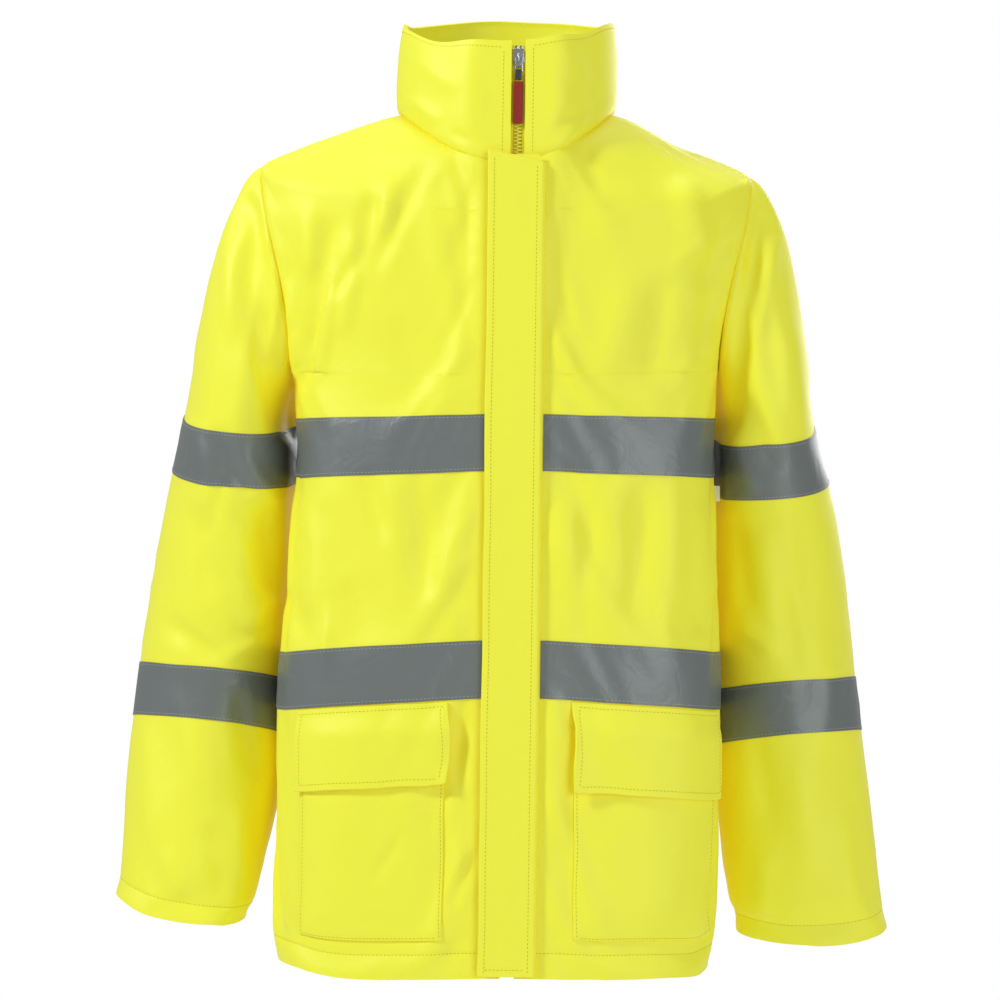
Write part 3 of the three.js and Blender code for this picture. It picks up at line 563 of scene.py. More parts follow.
def cloth_piece(name, outer, inner, ring, material, bevel=0.5, smooth=50.0):
    """The closed piece of cloth between two layers of points, with rounded edges and a UV map in metres."""
    rows, columns = outer.shape[:2]
    count = rows * columns
    faces = [grid_faces(rows, columns, ring), grid_faces(rows, columns, ring, count)[:, ::-1]]
    index = np.arange(count).reshape(rows, columns)

    def rim(line):
        turn = np.roll(line, -1) if ring else line[1:]
        line = line if ring else line[:-1]
        return np.stack([line, line + count, turn + count, turn], axis=-1)

    faces.append(rim(index[0]))
    faces.append(rim(index[-1])[:, ::-1])
    if not ring:
        for line, flip in ((index[:, 0], True), (index[:, -1], False)):
            side = np.stack([line[:-1], line[:-1] + count, line[1:] + count, line[1:]], axis=-1)
            faces.append(side[:, ::-1] if flip else side)
    points = np.concatenate([outer.reshape(-1, 3), inner.reshape(-1, 3)])
    piece = add_piece(name, to_frame(points), np.concatenate(faces), material, smooth)
    cloth_map(piece, outer, ring)
    if bevel:
        modifier = piece.modifiers.new("edge", "BEVEL")
        modifier.width = bevel * MM
        modifier.segments = 2
        modifier.limit_method = "ANGLE"
        modifier.angle_limit = math.radians(60)
        apply_all(piece)
        shade_smooth(piece, smooth)
    return piece


def cloth_map(piece, outer, ring):
    """A UV map whose units are metres along the cloth."""
    rows, columns = outer.shape[:2]
    middle = outer[rows // 2]
    across = np.concatenate(([0], np.cumsum(np.linalg.norm(np.diff(middle, axis=0), axis=1))))
    line = outer[:, columns // 2]
    up = np.concatenate(([0], np.cumsum(np.linalg.norm(np.diff(line, axis=0), axis=1))))
    u, v = np.meshgrid(across, up)
    flat = np.stack([u, v], axis=-1).reshape(-1, 2) * MM
    flat = np.concatenate([flat, flat])
    loops = np.empty(len(piece.data.loops), dtype=np.int64)
    piece.data.loops.foreach_get("vertex_index", loops)
    layer = piece.data.uv_layers.new(name="cloth")
    values = flat[loops]
    if ring:
        last = across[-1] * MM * columns / (columns - 1)
        corners = values.reshape(-1, 4, 2)
        wide = corners[..., 0].max(axis=1) - corners[..., 0].min(axis=1) > last / 2
        past_seam = wide[:, None] & (corners[..., 0] < last / 2)
        corners[..., 0] = np.where(past_seam, corners[..., 0] + last, corners[..., 0])
        values = corners.reshape(-1, 2)
    layer.data.foreach_set("uv", values.reshape(-1))


def sewn(name, lines, body, thread, cloth_stitch=None, width=None):
    """Runs of stitches. Each line is (points, normals) in millimetres."""
    sizes = bpy.context.scene.jacket_sizes
    pitch = cloth_stitch or sizes.stitch
    half = (width or sizes.thread) / 2
    points, faces = [], []
    for line, normals in lines:
        run = np.concatenate(([0], np.cumsum(np.linalg.norm(np.diff(line, axis=0), axis=1))))
        count = int(run[-1] // pitch)
        starts = (np.arange(count) + 0.15) * pitch
        ends = starts + 0.72 * pitch
        read = lambda grid, at: np.stack([np.interp(at, run, grid[:, k]) for k in range(3)], axis=-1)
        a, b, up = read(line, starts), read(line, ends), read(normals, (starts + ends) / 2)
        up /= np.linalg.norm(up, axis=1, keepdims=True)
        along = b - a
        along /= np.linalg.norm(along, axis=1, keepdims=True)
        side = np.cross(along, up)
        middle_a, middle_b = a + (b - a) * 0.22, a + (b - a) * 0.78
        rings = []
        for middle in (middle_a, middle_b):
            rings += [middle + side * half, middle + up * half, middle - side * half, middle - up * half]
        block = np.stack([a - up * half * 0.7, *rings, b - up * half * 0.7], axis=1)
        base = sum(len(p) for p in points)
        points.append(block.reshape(-1, 3))
        local = []
        for k in range(4):
            n = (k + 1) % 4
            local.append([0, 1 + n, 1 + k, 1 + k])
            local.append([1 + k, 1 + n, 5 + n, 5 + k])
            local.append([9, 5 + k, 5 + n, 5 + n])
        local = np.array(local)
        faces.append((local[None] + (np.arange(count) * 10)[:, None, None] + base).reshape(-1, 4))
    points, faces = np.concatenate(points), np.concatenate(faces)
    tidy = [tuple(f[:3]) if f[2] == f[3] else tuple(f) for f in faces.tolist()]
    name = joined(name)
    mesh = bpy.data.meshes.new(name)
    mesh.from_pydata(to_frame(points).tolist(), [], tidy)
    piece = bpy.data.objects.new(name, mesh)
    bpy.context.collection.objects.link(piece)
    mesh.materials.append(thread)
    turn_out(piece)
    shade_smooth(piece, 60)
    if isinstance(body, str):
        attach(piece, body)
    return piece


def run_along(sheet, levels, shares, lift):
    """A line on a sheet with its normals."""
    levels, shares = np.broadcast_arrays(np.asarray(levels, float), np.asarray(shares, float))
    on = sheet.at(levels, shares, lift)
    return on, sheet.at(levels, shares, lift + 1.0) - on


# ---- The jacket's own sheets ------------------------------------------------------------------------------

SHEETS = {}


def sizes():
    return bpy.context.scene.jacket_sizes


def spread(sheet, shift, levels, shares):
    """A coarse grid's movement, read on a finer one and smoothed."""
    level, share = np.meshgrid(levels, shares, indexing="ij")
    fine = sheet._read(shift, level, share)
    weight = np.exp(-(((levels[:, None] - levels[None]) / 7) ** 2)) * np.gradient(levels)[None]
    weight /= weight.sum(axis=1, keepdims=True)
    fine = np.tensordot(weight, fine, axes=1)
    for _ in range(3):
        if sheet.ring:
            fine = (np.roll(fine, 1, axis=1) + 2 * fine + np.roll(fine, -1, axis=1)) / 4
        else:
            middle = (fine[:, :-2] + 2 * fine[:, 1:-1] + fine[:, 2:]) / 4
            fine = np.concatenate([fine[:, :1], middle, fine[:, -1:]], axis=1)
    return fine


def settled(sheet, pins, grow, cap=None):
    """The sheet after its cloth has settled, worked out on every second row and column."""
    rows = np.unique(np.append(np.arange(0, len(sheet.levels), 2), len(sheet.levels) - 1))
    if sheet.ring:
        columns = np.arange(0, len(sheet.shares), 2)
    else:
        columns = np.unique(np.append(np.arange(0, len(sheet.shares), 2), len(sheet.shares) - 1))
    pick = np.ix_(rows, columns)
    inside = sheet.inside[pick] if np.ndim(sheet.inside) == 3 else sheet.inside
    coarse = Sheet(sheet.levels[rows], sheet.shares[columns], sheet.points[pick], sheet.ring, inside)
    shift = settle(coarse, pins[pick], cap or sizes().settle, grow=grow)
    return sheet.moved(spread(coarse, shift, sheet.levels, sheet.shares))


def edge_distance(sheet):
    """Millimetres from each point to the sheet's first and to its last column."""
    found = []
    for column in (0, -1):
        edge = sheet.points[:, column]
        steps = np.arange(len(edge))
        fine = np.arange(0, len(edge) - 0.8, 0.2)
        edge = np.stack([np.interp(fine, steps, edge[:, k]) for k in range(3)], axis=-1)
        rows = [np.linalg.norm(row[:, None] - edge[None], axis=-1).min(axis=1) for row in sheet.points]
        found.append(np.array(rows))
    return found


def rolled(distance, depth=1.1, width=3.2):
    """How far a sewn edge is drawn in at a distance from its seam."""
    return -depth * np.exp(-((distance / width) ** 2))


def armhole_levels():
    return [ARMHOLE_CENTRE - ARMHOLE_HALF * math.cos(math.pi * i / ARMHOLE_STEPS) for i in range(ARMHOLE_STEPS + 1)]


def body_levels():
    low, wide = (sizes().waist_tape, sizes().chest_tape), sizes().tape_width
    keys = [0, 34, 160, 214, low[0], low[0] + wide, low[1], low[1] + wide, ARMPIT]
    lower = steps_between(keys, 4.2, fine=(2.5, 5, sizes().hem_fold - 1.5, sizes().hem_fold, sizes().hem_fold + 1.5))
    return np.concatenate([lower, armhole_levels()[1:], steps_between([SHOULDER, 727, 742, NECK], 2.6)[1:]])


def hung(points):
    """The body's points as it hangs: the left shoulder slopes more and the hem is rounded up at the side seams."""
    out = points.copy()
    across, up = points[..., 0], points[..., 2]
    out[..., 2] -= 10 * smoothstep(across, 100, 165) * smoothstep(up, 560, 700)
    out[..., 2] += 13 * smoothstep(-across, 118, 206) ** 1.6 * (1 - smoothstep(up, 0, 90))
    out[..., 2] += 9 * smoothstep(across, 158, 190) ** 1.6 * (1 - smoothstep(up, 0, 90))
    return out


def inside_body(points):
    """Points inside the body, behind each point of a sheet."""
    middle = points.copy()
    middle[..., 0] = 0
    middle[..., 1] = SIDE_Y
    middle[..., 2] -= 60
    return middle


# Folds seen from the front: x, height, x, height, half width and height of the fold.
FRONT_FOLDS = {
    "right": [
        (-172, 668, -166, 610, 10, 3.2), (-150, 650, -166, 572, 9, -4.6), (-166, 572, -176, 512, 7, -4.4),
        (-148, 606, -164, 520, 7, 3.6), (-112, 676, -122, 628, 8, -3.6), (-122, 628, -148, 592, 7, -3.6),
        (-100, 690, -104, 640, 10, 3.4), (-128, 640, -140, 560, 8, 3.0), (-186, 600, -184, 524, 5, 3.4),
        (-70, 700, -112, 616, 8, -3.0), (-62, 668, -48, 590, 12, 2.0), (-40, 640, -30, 556, 8, -1.8),
        (-96, 560, -60, 500, 14, -1.8), (-30, 420, -52, 330, 12, 2.4), (-150, 400, -120, 300, 14, -2.8),
        (-96, 424, -88, 310, 12, 2.6), (-120, 430, -100, 380, 9, -2.2), (-176, 410, -168, 318, 8, 2.8),
        (-70, 410, -64, 330, 9, -2.4), (-44, 176, -36, 70, 8, 2.2), (-28, 104, -44, 62, 6, -3.0),
        (-33, 236, -40, 150, 7, -2.0), (-60, 330, -36, 296, 8, 1.6), (-190, 330, -176, 296, 8, -2.6),
        (-152, 322, -156, 262, 5, 1.6), (-42, 712, -30, 668, 6, -3.4), (-30, 668, -31, 610, 5, -2.6),
    ],
    "left": [
        (158, 690, 172, 640, 12, 3.0), (196, 656, 176, 600, 8, -3.6), (186, 640, 150, 618, 8, 2.2),
        (180, 560, 152, 510, 10, 2.6), (186, 590, 168, 536, 7, -2.8), (60, 690, 100, 640, 13, 2.2),
        (46, 650, 52, 560, 12, -2.2), (110, 600, 90, 520, 14, 2.2), (140, 600, 128, 520, 11, -2.2),
        (150, 420, 140, 310, 13, 2.6), (120, 420, 112, 320, 11, -2.4), (92, 424, 100, 320, 14, 2.0),
        (172, 400, 178, 310, 8, 2.6), (50, 400, 60, 310, 11, 2.2), (74, 400, 70, 330, 9, -2.0),
        (44, 236, 50, 120, 10, 2.0), (184, 330, 170, 296, 7, -2.2), (70, 720, 84, 680, 8, -2.0),
    ],
}
BACK_FOLDS = [
    (-150, 640, -160, 540, 14, 3.0), (150, 640, 160, 540, 14, 3.0), (-110, 620, -130, 520, 12, -2.4),
    (110, 620, 130, 520, 12, -2.4), (-60, 420, -50, 310, 20, 1.8), (70, 424, 58, 306, 20, 1.7),
    (0, 700, 4, 600, 18, -1.4), (-20, 230, -14, 60, 26, 2.0), (100, 230, 110, 50, 24, 1.8),
    (-130, 230, -120, 60, 22, 1.8), (30, 600, 60, 500, 18, 1.3), (-40, 590, -64, 500, 18, 1.2),
]


def front(side):
    """One front's outer face: share 0 is the side seam and the armhole, 1 the edge by the zip."""
    if ("front", side) in SHEETS:
        return SHEETS["front", side]
    levels, shares = body_levels(), edged_shares(88, 0.006)
    right = side == "right"
    sign = 1.0 if right else -1.0
    seam = math.pi if right else 2 * math.pi
    starts = seam + sign * (SEAM / 260 + ARMHOLE_FRONT * armhole_open(levels))
    ends = front_angle(body_surface, levels, np.full_like(levels, -sign * FRONT_EDGE))
    points = hung(even_columns(body_surface, levels, starts, ends, shares))
    sheet = Sheet(levels, shares, points, False, inside_body(points))
    SHEETS["pattern", side] = sheet
    seam_side, zip_side = edge_distance(sheet)
    level = levels[:, None] + 0 * seam_side
    pins = 1 - smoothstep(np.minimum(seam_side, zip_side - 20), 0, 14)
    pins = np.maximum(pins, smoothstep(level, NECK - 26, NECK - 6))
    pins = np.maximum(pins, 0.35 * (1 - smoothstep(level, 0, 30)))
    for low in (sizes().waist_tape, sizes().chest_tape):
        pins = np.maximum(pins, 0.25 * smoothstep(level, low - 12, low) * (1 - smoothstep(level, low + 50, low + 62)))
    sheet = settled(sheet, pins, 0.014)
    free = smoothstep(seam_side, 0, 22) * smoothstep(zip_side, 24, 62) * (1 - smoothstep(level, NECK - 20, NECK))
    main_folds = fold_limit(1.6 * folds_depth(sheet.points, FRONT_FOLDS[side]), 5)
    raise_by = main_folds * smoothstep(seam_side, 0, 8) * smoothstep(zip_side, 10, 22)
    raise_by += (1.5 * waves(sheet.points, 95, 2.6, 3.1 * sign) + 0.5 * waves(sheet.points, 30, 1.8, 7.7 * sign)) * free
    raise_by += rolled(seam_side, 0.9, 3.6) + rolled(np.clip(zip_side, 0, None), 0.3, 2.0)
    raise_by -= 5 * (1 - smoothstep(level, 0, 34)) * np.exp(-((seam_side / 46) ** 2))
    raise_by += rolled(NECK - level, 1.0, 2.6) - 0.45 * np.exp(-(((level - sizes().hem_fold) / 1.6) ** 2))
    raise_by += 0.8 * np.exp(-(((level - 10) / 8) ** 2)) * smoothstep(zip_side, 20, 60)
    sheet = sheet.moved(SHEETS["pattern", side].normals * raise_by[..., None])
    SHEETS["front", side] = under_collar(sewn_in(sheet, False))
    return SHEETS["front", side]


def back():
    """The back's outer face: share 0 is the wearer's left side and 1 the right."""
    if "back" in SHEETS:
        return SHEETS["back"]
    levels, shares = body_levels(), edged_shares(110, 0.0035)
    starts = SEAM / 260 + ARMHOLE_BACK * armhole_open(levels)
    points = hung(even_columns(body_surface, levels, starts, math.pi - starts, shares))
    sheet = Sheet(levels, shares, points, False, inside_body(points))
    start, end = edge_distance(sheet)
    level = levels[:, None] + 0 * start
    pins = 1 - smoothstep(np.minimum(start, end), 0, 14)
    pins = np.maximum(pins, smoothstep(level, NECK - 26, NECK - 6))
    pins = np.maximum(pins, 0.35 * (1 - smoothstep(level, 0, 30)))
    outwards = sheet.normals
    sheet = settled(sheet, pins, 0.014)
    free = smoothstep(np.minimum(start, end), 0, 26) * (1 - smoothstep(level, NECK - 20, NECK))
    raise_by = folds_depth(sheet.points, BACK_FOLDS) * free
    raise_by += (1.8 * waves(sheet.points, 100, 2.6, 5.3) + 0.5 * waves(sheet.points, 34, 1.8, 9.9)) * free
    raise_by += rolled(start) + rolled(end) + rolled(NECK - level, 1.0, 2.6)
    raise_by -= 5 * (1 - smoothstep(level, 0, 34)) * np.exp(-((np.minimum(start, end) / 46) ** 2))
    raise_by -= 0.45 * np.exp(-(((level - sizes().hem_fold) / 1.6) ** 2))
    SHEETS["back"] = under_collar(sewn_in(sheet.moved(outwards * raise_by[..., None]), True))
    return SHEETS["back"]


def sewn_in(sheet, both):
    """The sheet with a seam allowance beside its first column, or beside both, turned in."""
    inner, outer = [], []
    for side, found in ((0, inner), (-1, outer)):
        away = sheet.points[:, side] - sheet.points[:, 2 if side == 0 else -3]
        away /= np.linalg.norm(away, axis=-1, keepdims=True)
        for on, deep in ((5, 3.4), (1.8, 1.3)):
            found.append(sheet.points[:, side] + away * on - sheet.normals[:, side] * deep)
    columns = inner + list(sheet.points.transpose(1, 0, 2)) + (outer[::-1] if both else [])
    shares = np.concatenate([[-0.02, -0.007], sheet.shares, [1.007, 1.02] if both else []])
    points = np.stack(columns, axis=1)
    return Sheet(sheet.levels, shares, points, False, inside_body(points))


def under_collar(sheet):
    """The sheet with a seam allowance above its last row, turned in behind the collar."""
    away = sheet.points[-1] - sheet.points[-3]
    away /= np.linalg.norm(away, axis=-1, keepdims=True)
    extra = [sheet.points[-1] + away * on - sheet.normals[-1] * deep for on, deep in ((2.5, 0.8), (8, 2.4))]
    points = np.concatenate([sheet.points, np.stack(extra)])
    levels = np.concatenate([sheet.levels, [NECK + 2.5, NECK + 8]])
    return Sheet(levels, sheet.shares, points, False, inside_body(points))


def tucked(sheet):
    """The sheet with a seam allowance at its first row, turned in behind the piece that it is sewn to."""
    away = sheet.points[0] - sheet.points[2]
    away /= np.linalg.norm(away, axis=-1, keepdims=True)
    extra = [sheet.points[0] + away * back_by - sheet.normals[0] * deep for back_by, deep in ((7, 4.6), (2.2, 1.8))]
    points = np.concatenate([np.stack(extra), sheet.points])
    levels = np.concatenate([[sheet.levels[0] - 7, sheet.levels[0] - 2.2], sheet.levels])
    inside = np.concatenate([sheet.inside[:1], sheet.inside[:1], sheet.inside])
    return Sheet(levels, sheet.shares, points, sheet.ring, inside)


COLLAR_SCALE = 100.0  # a collar level is its rise times this
COLLAR_FOLDS = [
    (30, 716, 58, 748, 5, -1.8), (46, 712, 76, 752, 5, 1.6), (84, 712, 100, 742, 5, -1.8), (64, 742, 92, 766, 6, -1.2),
    (-42, 730, -14, 716, 4, -1.2), (-92, 742, -72, 716, 5, -1.6), (-80, 764, -56, 742, 6, 1.2),
    (-70, 800, -40, 770, 9, 1.0), (52, 806, 74, 776, 9, 1.0),
]


def collar_sheet():
    """The collar's outer face, from the wearer's left of the zip round the back to the right."""
    if "collar" in SHEETS:
        return SHEETS["collar"]
    rises = steps_between([1.2, 4, 96, 100], 3.2) / COLLAR_SCALE
    shares = edged_shares(170, 0.004)
    starts = front_angle(collar_surface, rises, np.full_like(rises, FRONT_EDGE)) - 2 * math.pi
    ends = front_angle(collar_surface, rises, np.full_like(rises, -FRONT_EDGE))
    points = even_columns(collar_surface, rises, starts, ends, shares)
    middle = points.copy()
    middle[..., 0], middle[..., 1] = 4, SIDE_Y
    sheet = Sheet(rises * COLLAR_SCALE, shares, points, False, middle)
    start, end = edge_distance(sheet)
    zip_side = np.minimum(start, end)
    rise = rises[:, None] + 0 * start
    free = smoothstep(zip_side, 16, 46)
    lift = 2.6 * np.sin(math.pi * np.clip(rise, 0, 1)) ** 0.8 * free
    front_part = np.where(points[..., 1] < SIDE_Y, 1.0, 0.0)
    lift += 1.9 * folds_depth(points, COLLAR_FOLDS) * front_part * free
    lift += 1.1 * waves(points, 46, 0.7, 12.3) * free * (0.4 + 0.6 * (1 - rise))
    lift += rolled(rise * 90, 1.6, 3.4) * smoothstep(zip_side, 0, 20) + 0.5 * rolled((1 - rise) * 90, 1.2, 3)
    sheet = sheet.raised(lift)
    sag = np.zeros_like(sheet.points)
    sag[..., 2] = 1.6 * waves(points, 60, 1.0, 2.2) * rise ** 3 * free
    dips = 11 * np.exp(-(((points[..., 0] + 64) / 28) ** 2)) + 4 * np.exp(-(((points[..., 0] - 72) / 16) ** 2))
    sag[..., 2] -= dips * rise ** 3 * front_part
    SHEETS["collar"] = tucked(sheet.moved(sag))
    return SHEETS["collar"]


# How much lower a cuff hangs at its front and at its outer side than square to the arm
CUFF_DROPS = {"right": (17.0, -3.0), "left": (16.0, 7.0)}
# The share by which the extra width of a sleeve's outside fades at its cuff, and the width added towards the body
SLEEVE_EASE = {"right": (0.7, 3.0), "left": (0.1, 3.0)}
CAP = 120.0  # a sleeve level above the biceps is its share of the head times this
SLEEVE_FOLDS = {
    "right": [
        (-224, 678, -219, 634, 9, -6.0), (-219, 634, -218, 584, 11, -9.0), (-218, 584, -207, 530, 12, -10.0),
        (-207, 530, -192, 468, 11, -9.0), (-207, 650, -197, 590, 4, 3.6), (-242, 640, -238, 560, 9, 3.0),
        (-252, 470, -226, 420, 10, -4.0), (-236, 452, -206, 408, 8, 3.2), (-262, 430, -236, 352, 11, 3.0),
        (-300, 620, -286, 540, 12, 2.4), (-212, 400, -206, 330, 8, -4.2), (-236, 380, -226, 300, 9, 3.4),
        (-210, 330, -226, 296, 7, 3.0), (-300, 300, -250, 268, 9, -3.0), (-252, 268, -212, 286, 8, 2.8),
        (-290, 236, -262, 150, 13, 2.8), (-236, 236, -226, 168, 9, -3.2), (-318, 200, -310, 100, 12, 2.4),
        (-262, 120, -250, 60, 11, -2.6), (-300, 96, -286, 56, 10, 2.2), (-236, 130, -232, 70, 8, 2.2),
        (-280, 480, -262, 440, 10, 2.4), (-246, 440, -262, 380, 8, -3.0), (-276, 400, -262, 330, 9, -2.6),
    ],
    "left": [
        (230, 664, 218, 600, 8, -5.6), (218, 600, 205, 520, 9, -7.6), (205, 520, 199, 470, 8, -6.0),
        (240, 640, 222, 560, 9, 3.4), (214, 500, 240, 440, 10, -3.4), (204, 470, 222, 420, 8, 3.0),
        (256, 560, 262, 480, 12, 2.6), (206, 390, 216, 320, 8, -3.6), (232, 380, 240, 300, 10, 2.8),
        (268, 400, 276, 300, 11, -2.4), (212, 300, 244, 276, 8, 2.6), (296, 260, 286, 190, 11, 2.2),
        (226, 200, 238, 120, 10, -2.6), (262, 176, 272, 80, 13, 2.4), (306, 130, 312, 50, 10, 2.0),
        (236, 96, 232, 40, 9, 2.0), (280, 520, 290, 440, 11, -2.2), (250, 330, 262, 260, 9, -2.4),
    ],
}


def shape_of(side):
    if ("shape", side) not in SHEETS:
        SHEETS["shape", side] = SleeveShape(side)
    return SHEETS["shape", side]


def sleeve_levels(side):
    half = sizes().tape_width / 2
    keys = [0]
    for centre in SLEEVE_TAPE_CENTRES:
        keys += [centre - half, centre + half]
    end = shape_of(side).length
    cap = -CAP * (1 - np.linspace(0, 1, 34)[:-1] ** 1.25)
    at_cuff = (end - 22, end - 20.5, end - 19, end - 4, end - 2)
    return np.concatenate([cap, steps_between(keys + [end], 4.2, fine=at_cuff)])


def sleeve_sheet(side):
    """A sleeve's outer face. Share 0 is the outside of the arm and a quarter is its front."""
    if ("sleeve", side) in SHEETS:
        return SHEETS["sleeve", side]
    shape, levels = shape_of(side), sleeve_levels(side)
    shares = np.arange(2 * ARMHOLE_STEPS + 8) / (2 * ARMHOLE_STEPS + 8)
    along = np.where(levels < 0, levels / CAP, levels)
    around, down = np.meshgrid(shares * 2 * math.pi, along)
    points = hung(shape.point(around, down))
    outer_wide, inner_wide = SLEEVE_EASE[side]
    wide = smoothstep(levels, -24, 150) * (1 - outer_wide * smoothstep(levels, levels[-1] - 150, levels[-1]))
    points[..., 0] += shape.side * 9.5 * wide[:, None] * (0.5 + 0.5 * np.cos(around))
    close = smoothstep(levels, 20, 90) * (1 - smoothstep(levels, 150, 260))
    points[..., 0] -= shape.side * inner_wide * close[:, None] * (0.5 - 0.5 * np.cos(around))
    hang = smoothstep(levels[:, None] + 0 * around, levels[-1] - 110, levels[-1])
    front_drop, side_drop = CUFF_DROPS[side]
    points[..., 2] -= hang * (front_drop * np.sin(around) + side_drop * np.cos(around))
    middle = np.repeat(points.mean(axis=1, keepdims=True), points.shape[1], axis=1)
    sheet = Sheet(levels, shares, points, True, middle)
    level = levels[:, None] + 0 * around
    end = levels[-1]
    pins = 1 - smoothstep(level, -CAP, -CAP * 0.86)
    pins = np.maximum(pins, 0.3 * smoothstep(level, end - 26, end - 6))
    sheet = settled(sheet, pins, 0.018)
    rim = np.linalg.norm(points - points[:1], axis=-1)
    free = smoothstep(rim, 2, 26)
    forward = smoothstep(middle[..., 1] - points[..., 1], -14, 12)
    lift = fold_limit(1.6 * folds_depth(sheet.points, SLEEVE_FOLDS[side]), 9) * forward * smoothstep(rim, 0, 9)
    seed = 21.0 if side == "right" else 34.0
    lift += (1.9 * waves(points, 80, 1.7, seed) + 0.7 * waves(points, 34, 1.3, seed + 5)) * free
    rings = 1.6 * np.sin(level / 9.5 + 5 * waves(points, 70, 1, seed + 9))
    lift += rings * np.exp(-(((level - 215) / 120) ** 2)) * (1 - forward)
    lift += rolled(rim, 0.9, 3.4)
    lift -= 0.45 * np.exp(-(((level - end + 20.5) / 1.6) ** 2))
    SHEETS["sleeve", side] = tucked(sheet.raised(lift))
    return SHEETS["sleeve", side]


# ---- Materials --------------------------------------------------------------------------------------------


def srgb(value):
    """An sRGB hex value as linear red, green, blue and alpha."""
    parts = [int(value[k:k + 2], 16) / 255 for k in (0, 2, 4)]
    return (*[p / 12.92 if p <= 0.04045 else ((p + 0.055) / 1.055) ** 2.4 for p in parts], 1.0)


def node(material, kind, inputs=None, **settings):
    """Adds a shader node. inputs are values or output sockets for its input sockets."""
    made = material.node_tree.nodes.new(kind)
    for name, value in settings.items():
        setattr(made, name, value)
    for name, value in (inputs or {}).items():
        if isinstance(value, bpy.types.NodeSocket):
            material.node_tree.links.new(value, made.inputs[name])
        else:
            made.inputs[name].default_value = value
    return made


def material(name, base, rough, metal=0.0, **inputs):
    """A plain principled material, and the shader to build on."""
    if name in bpy.data.materials:
        return bpy.data.materials[name], None
    made = bpy.data.materials.new(name)
    made.use_nodes = True
    shader = made.node_tree.nodes["Principled BSDF"]
    shader.inputs["Base Color"].default_value = srgb(base)
    shader.inputs["Roughness"].default_value = rough
    shader.inputs["Metallic"].default_value = metal
    for key, value in inputs.items():
        shader.inputs[key.replace("_", " ")].default_value = value
    made.diffuse_color = srgb(base)
    return made, shader


def weave(made, pitch, depth, coordinate="UV"):
    """A plain weave's height, from threads a pitch apart in metres, and the bump that shows it."""
    place = node(made, "ShaderNodeTexCoord").outputs[coordinate]
    split = node(made, "ShaderNodeSeparateXYZ", {"Vector": place})
    heights = []
    for axis in "XY":
        turn = node(made, "ShaderNodeMath", {0: split.outputs[axis], 1: math.pi / pitch}, operation="MULTIPLY")
        heights.append(node(made, "ShaderNodeMath", {0: turn.outputs[0]}, operation="SINE").outputs[0])
    crossed = node(made, "ShaderNodeMath", {0: heights[0], 1: heights[1]}, operation="MULTIPLY")
    bump = node(made, "ShaderNodeBump", {"Height": crossed.outputs[0], "Strength": 1.0, "Distance": depth})
    return place, crossed.outputs[0], bump


def fluorescent():
    """Fluorescent yellow polyester, a tight plain weave with a waterproof coating behind it."""
    colours = bpy.context.scene.jacket_colours
    made, shader = material("fluorescent polyester", colours.shell, 0.5, Specular_IOR_Level=0.5)
    if shader is None:
        return made
    place, crossed, bump = weave(made, 0.0007, 0.00004)
    creases = node(made, "ShaderNodeTexNoise", {
        "Vector": place, "Scale": 60.0, "Detail": 3.0, "Roughness": 0.5, "Distortion": 0.6,
    })
    soft = node(made, "ShaderNodeBump", {
        "Height": creases.outputs["Fac"], "Strength": 0.5, "Distance": 0.0008, "Normal": bump.outputs["Normal"],
    })
    # Painted shade: the weave's deep threads take the darker yellow.
    share = node(made, "ShaderNodeMapRange", {
        "Value": crossed, "From Min": -1.0, "From Max": 1.0, "To Min": 0.3, "To Max": 0.0,
    })
    base_with_weave_shade = node(made, "ShaderNodeMix", {
        0: share.outputs["Result"], 6: srgb(colours.shell), 7: srgb(colours.shell_weave_shade),
    }, data_type="RGBA")
    links = made.node_tree.links
    # Painted shade: the yellow turns deeper where ambient occlusion finds the sides of a fold close together.
    occlusion_for_painted_shade = node(made, "ShaderNodeAmbientOcclusion", {"Distance": 0.045}, samples=6)
    painted_fold_shade = node(made, "ShaderNodeMapRange", {
        "Value": occlusion_for_painted_shade.outputs["AO"], "From Min": 0.3, "From Max": 0.9, "To Min": 0.75, "To Max": 0.0,
    })
    base_with_painted_shade = node(made, "ShaderNodeMix", {
        0: painted_fold_shade.outputs["Result"], 6: base_with_weave_shade.outputs[2], 7: srgb(colours.painted_fold_shade),
    }, data_type="RGBA")
    links.new(base_with_painted_shade.outputs[2], shader.inputs["Base Color"])
    links.new(soft.outputs["Normal"], shader.inputs["Normal"])
    # Painted light: a faint constant glow in the dye's colour that lifts the shade and warms the shadows.
    shader.inputs["Emission Color"].default_value = srgb(colours.painted_glow)
    shader.inputs["Emission Strength"].default_value = 0.13
    shader.inputs["Sheen Weight"].default_value = 0.08
    return made


def reflective():
    """Retroreflective tape: glass beads on a grey silver-coated cloth, matt under soft light."""
    made, shader = material("retroreflective tape", bpy.context.scene.jacket_colours.tape, 0.42, 0.25)
    if shader is None:
        return made
    place = node(made, "ShaderNodeTexCoord").outputs["Object"]
    beads = node(made, "ShaderNodeTexNoise", {"Vector": place, "Scale": 2600.0, "Detail": 1.0})
    creases = node(made, "ShaderNodeTexNoise", {"Vector": place, "Scale": 42.0, "Detail": 4.0, "Distortion": 1.4})
    fine = node(made, "ShaderNodeBump", {"Height": beads.outputs["Fac"], "Strength": 0.35, "Distance": 0.00005})
    soft = node(made, "ShaderNodeBump", {
        "Height": creases.outputs["Fac"], "Strength": 0.7, "Distance": 0.0012, "Normal": fine.outputs["Normal"],
    })
    made.node_tree.links.new(soft.outputs["Normal"], shader.inputs["Normal"])
    return made


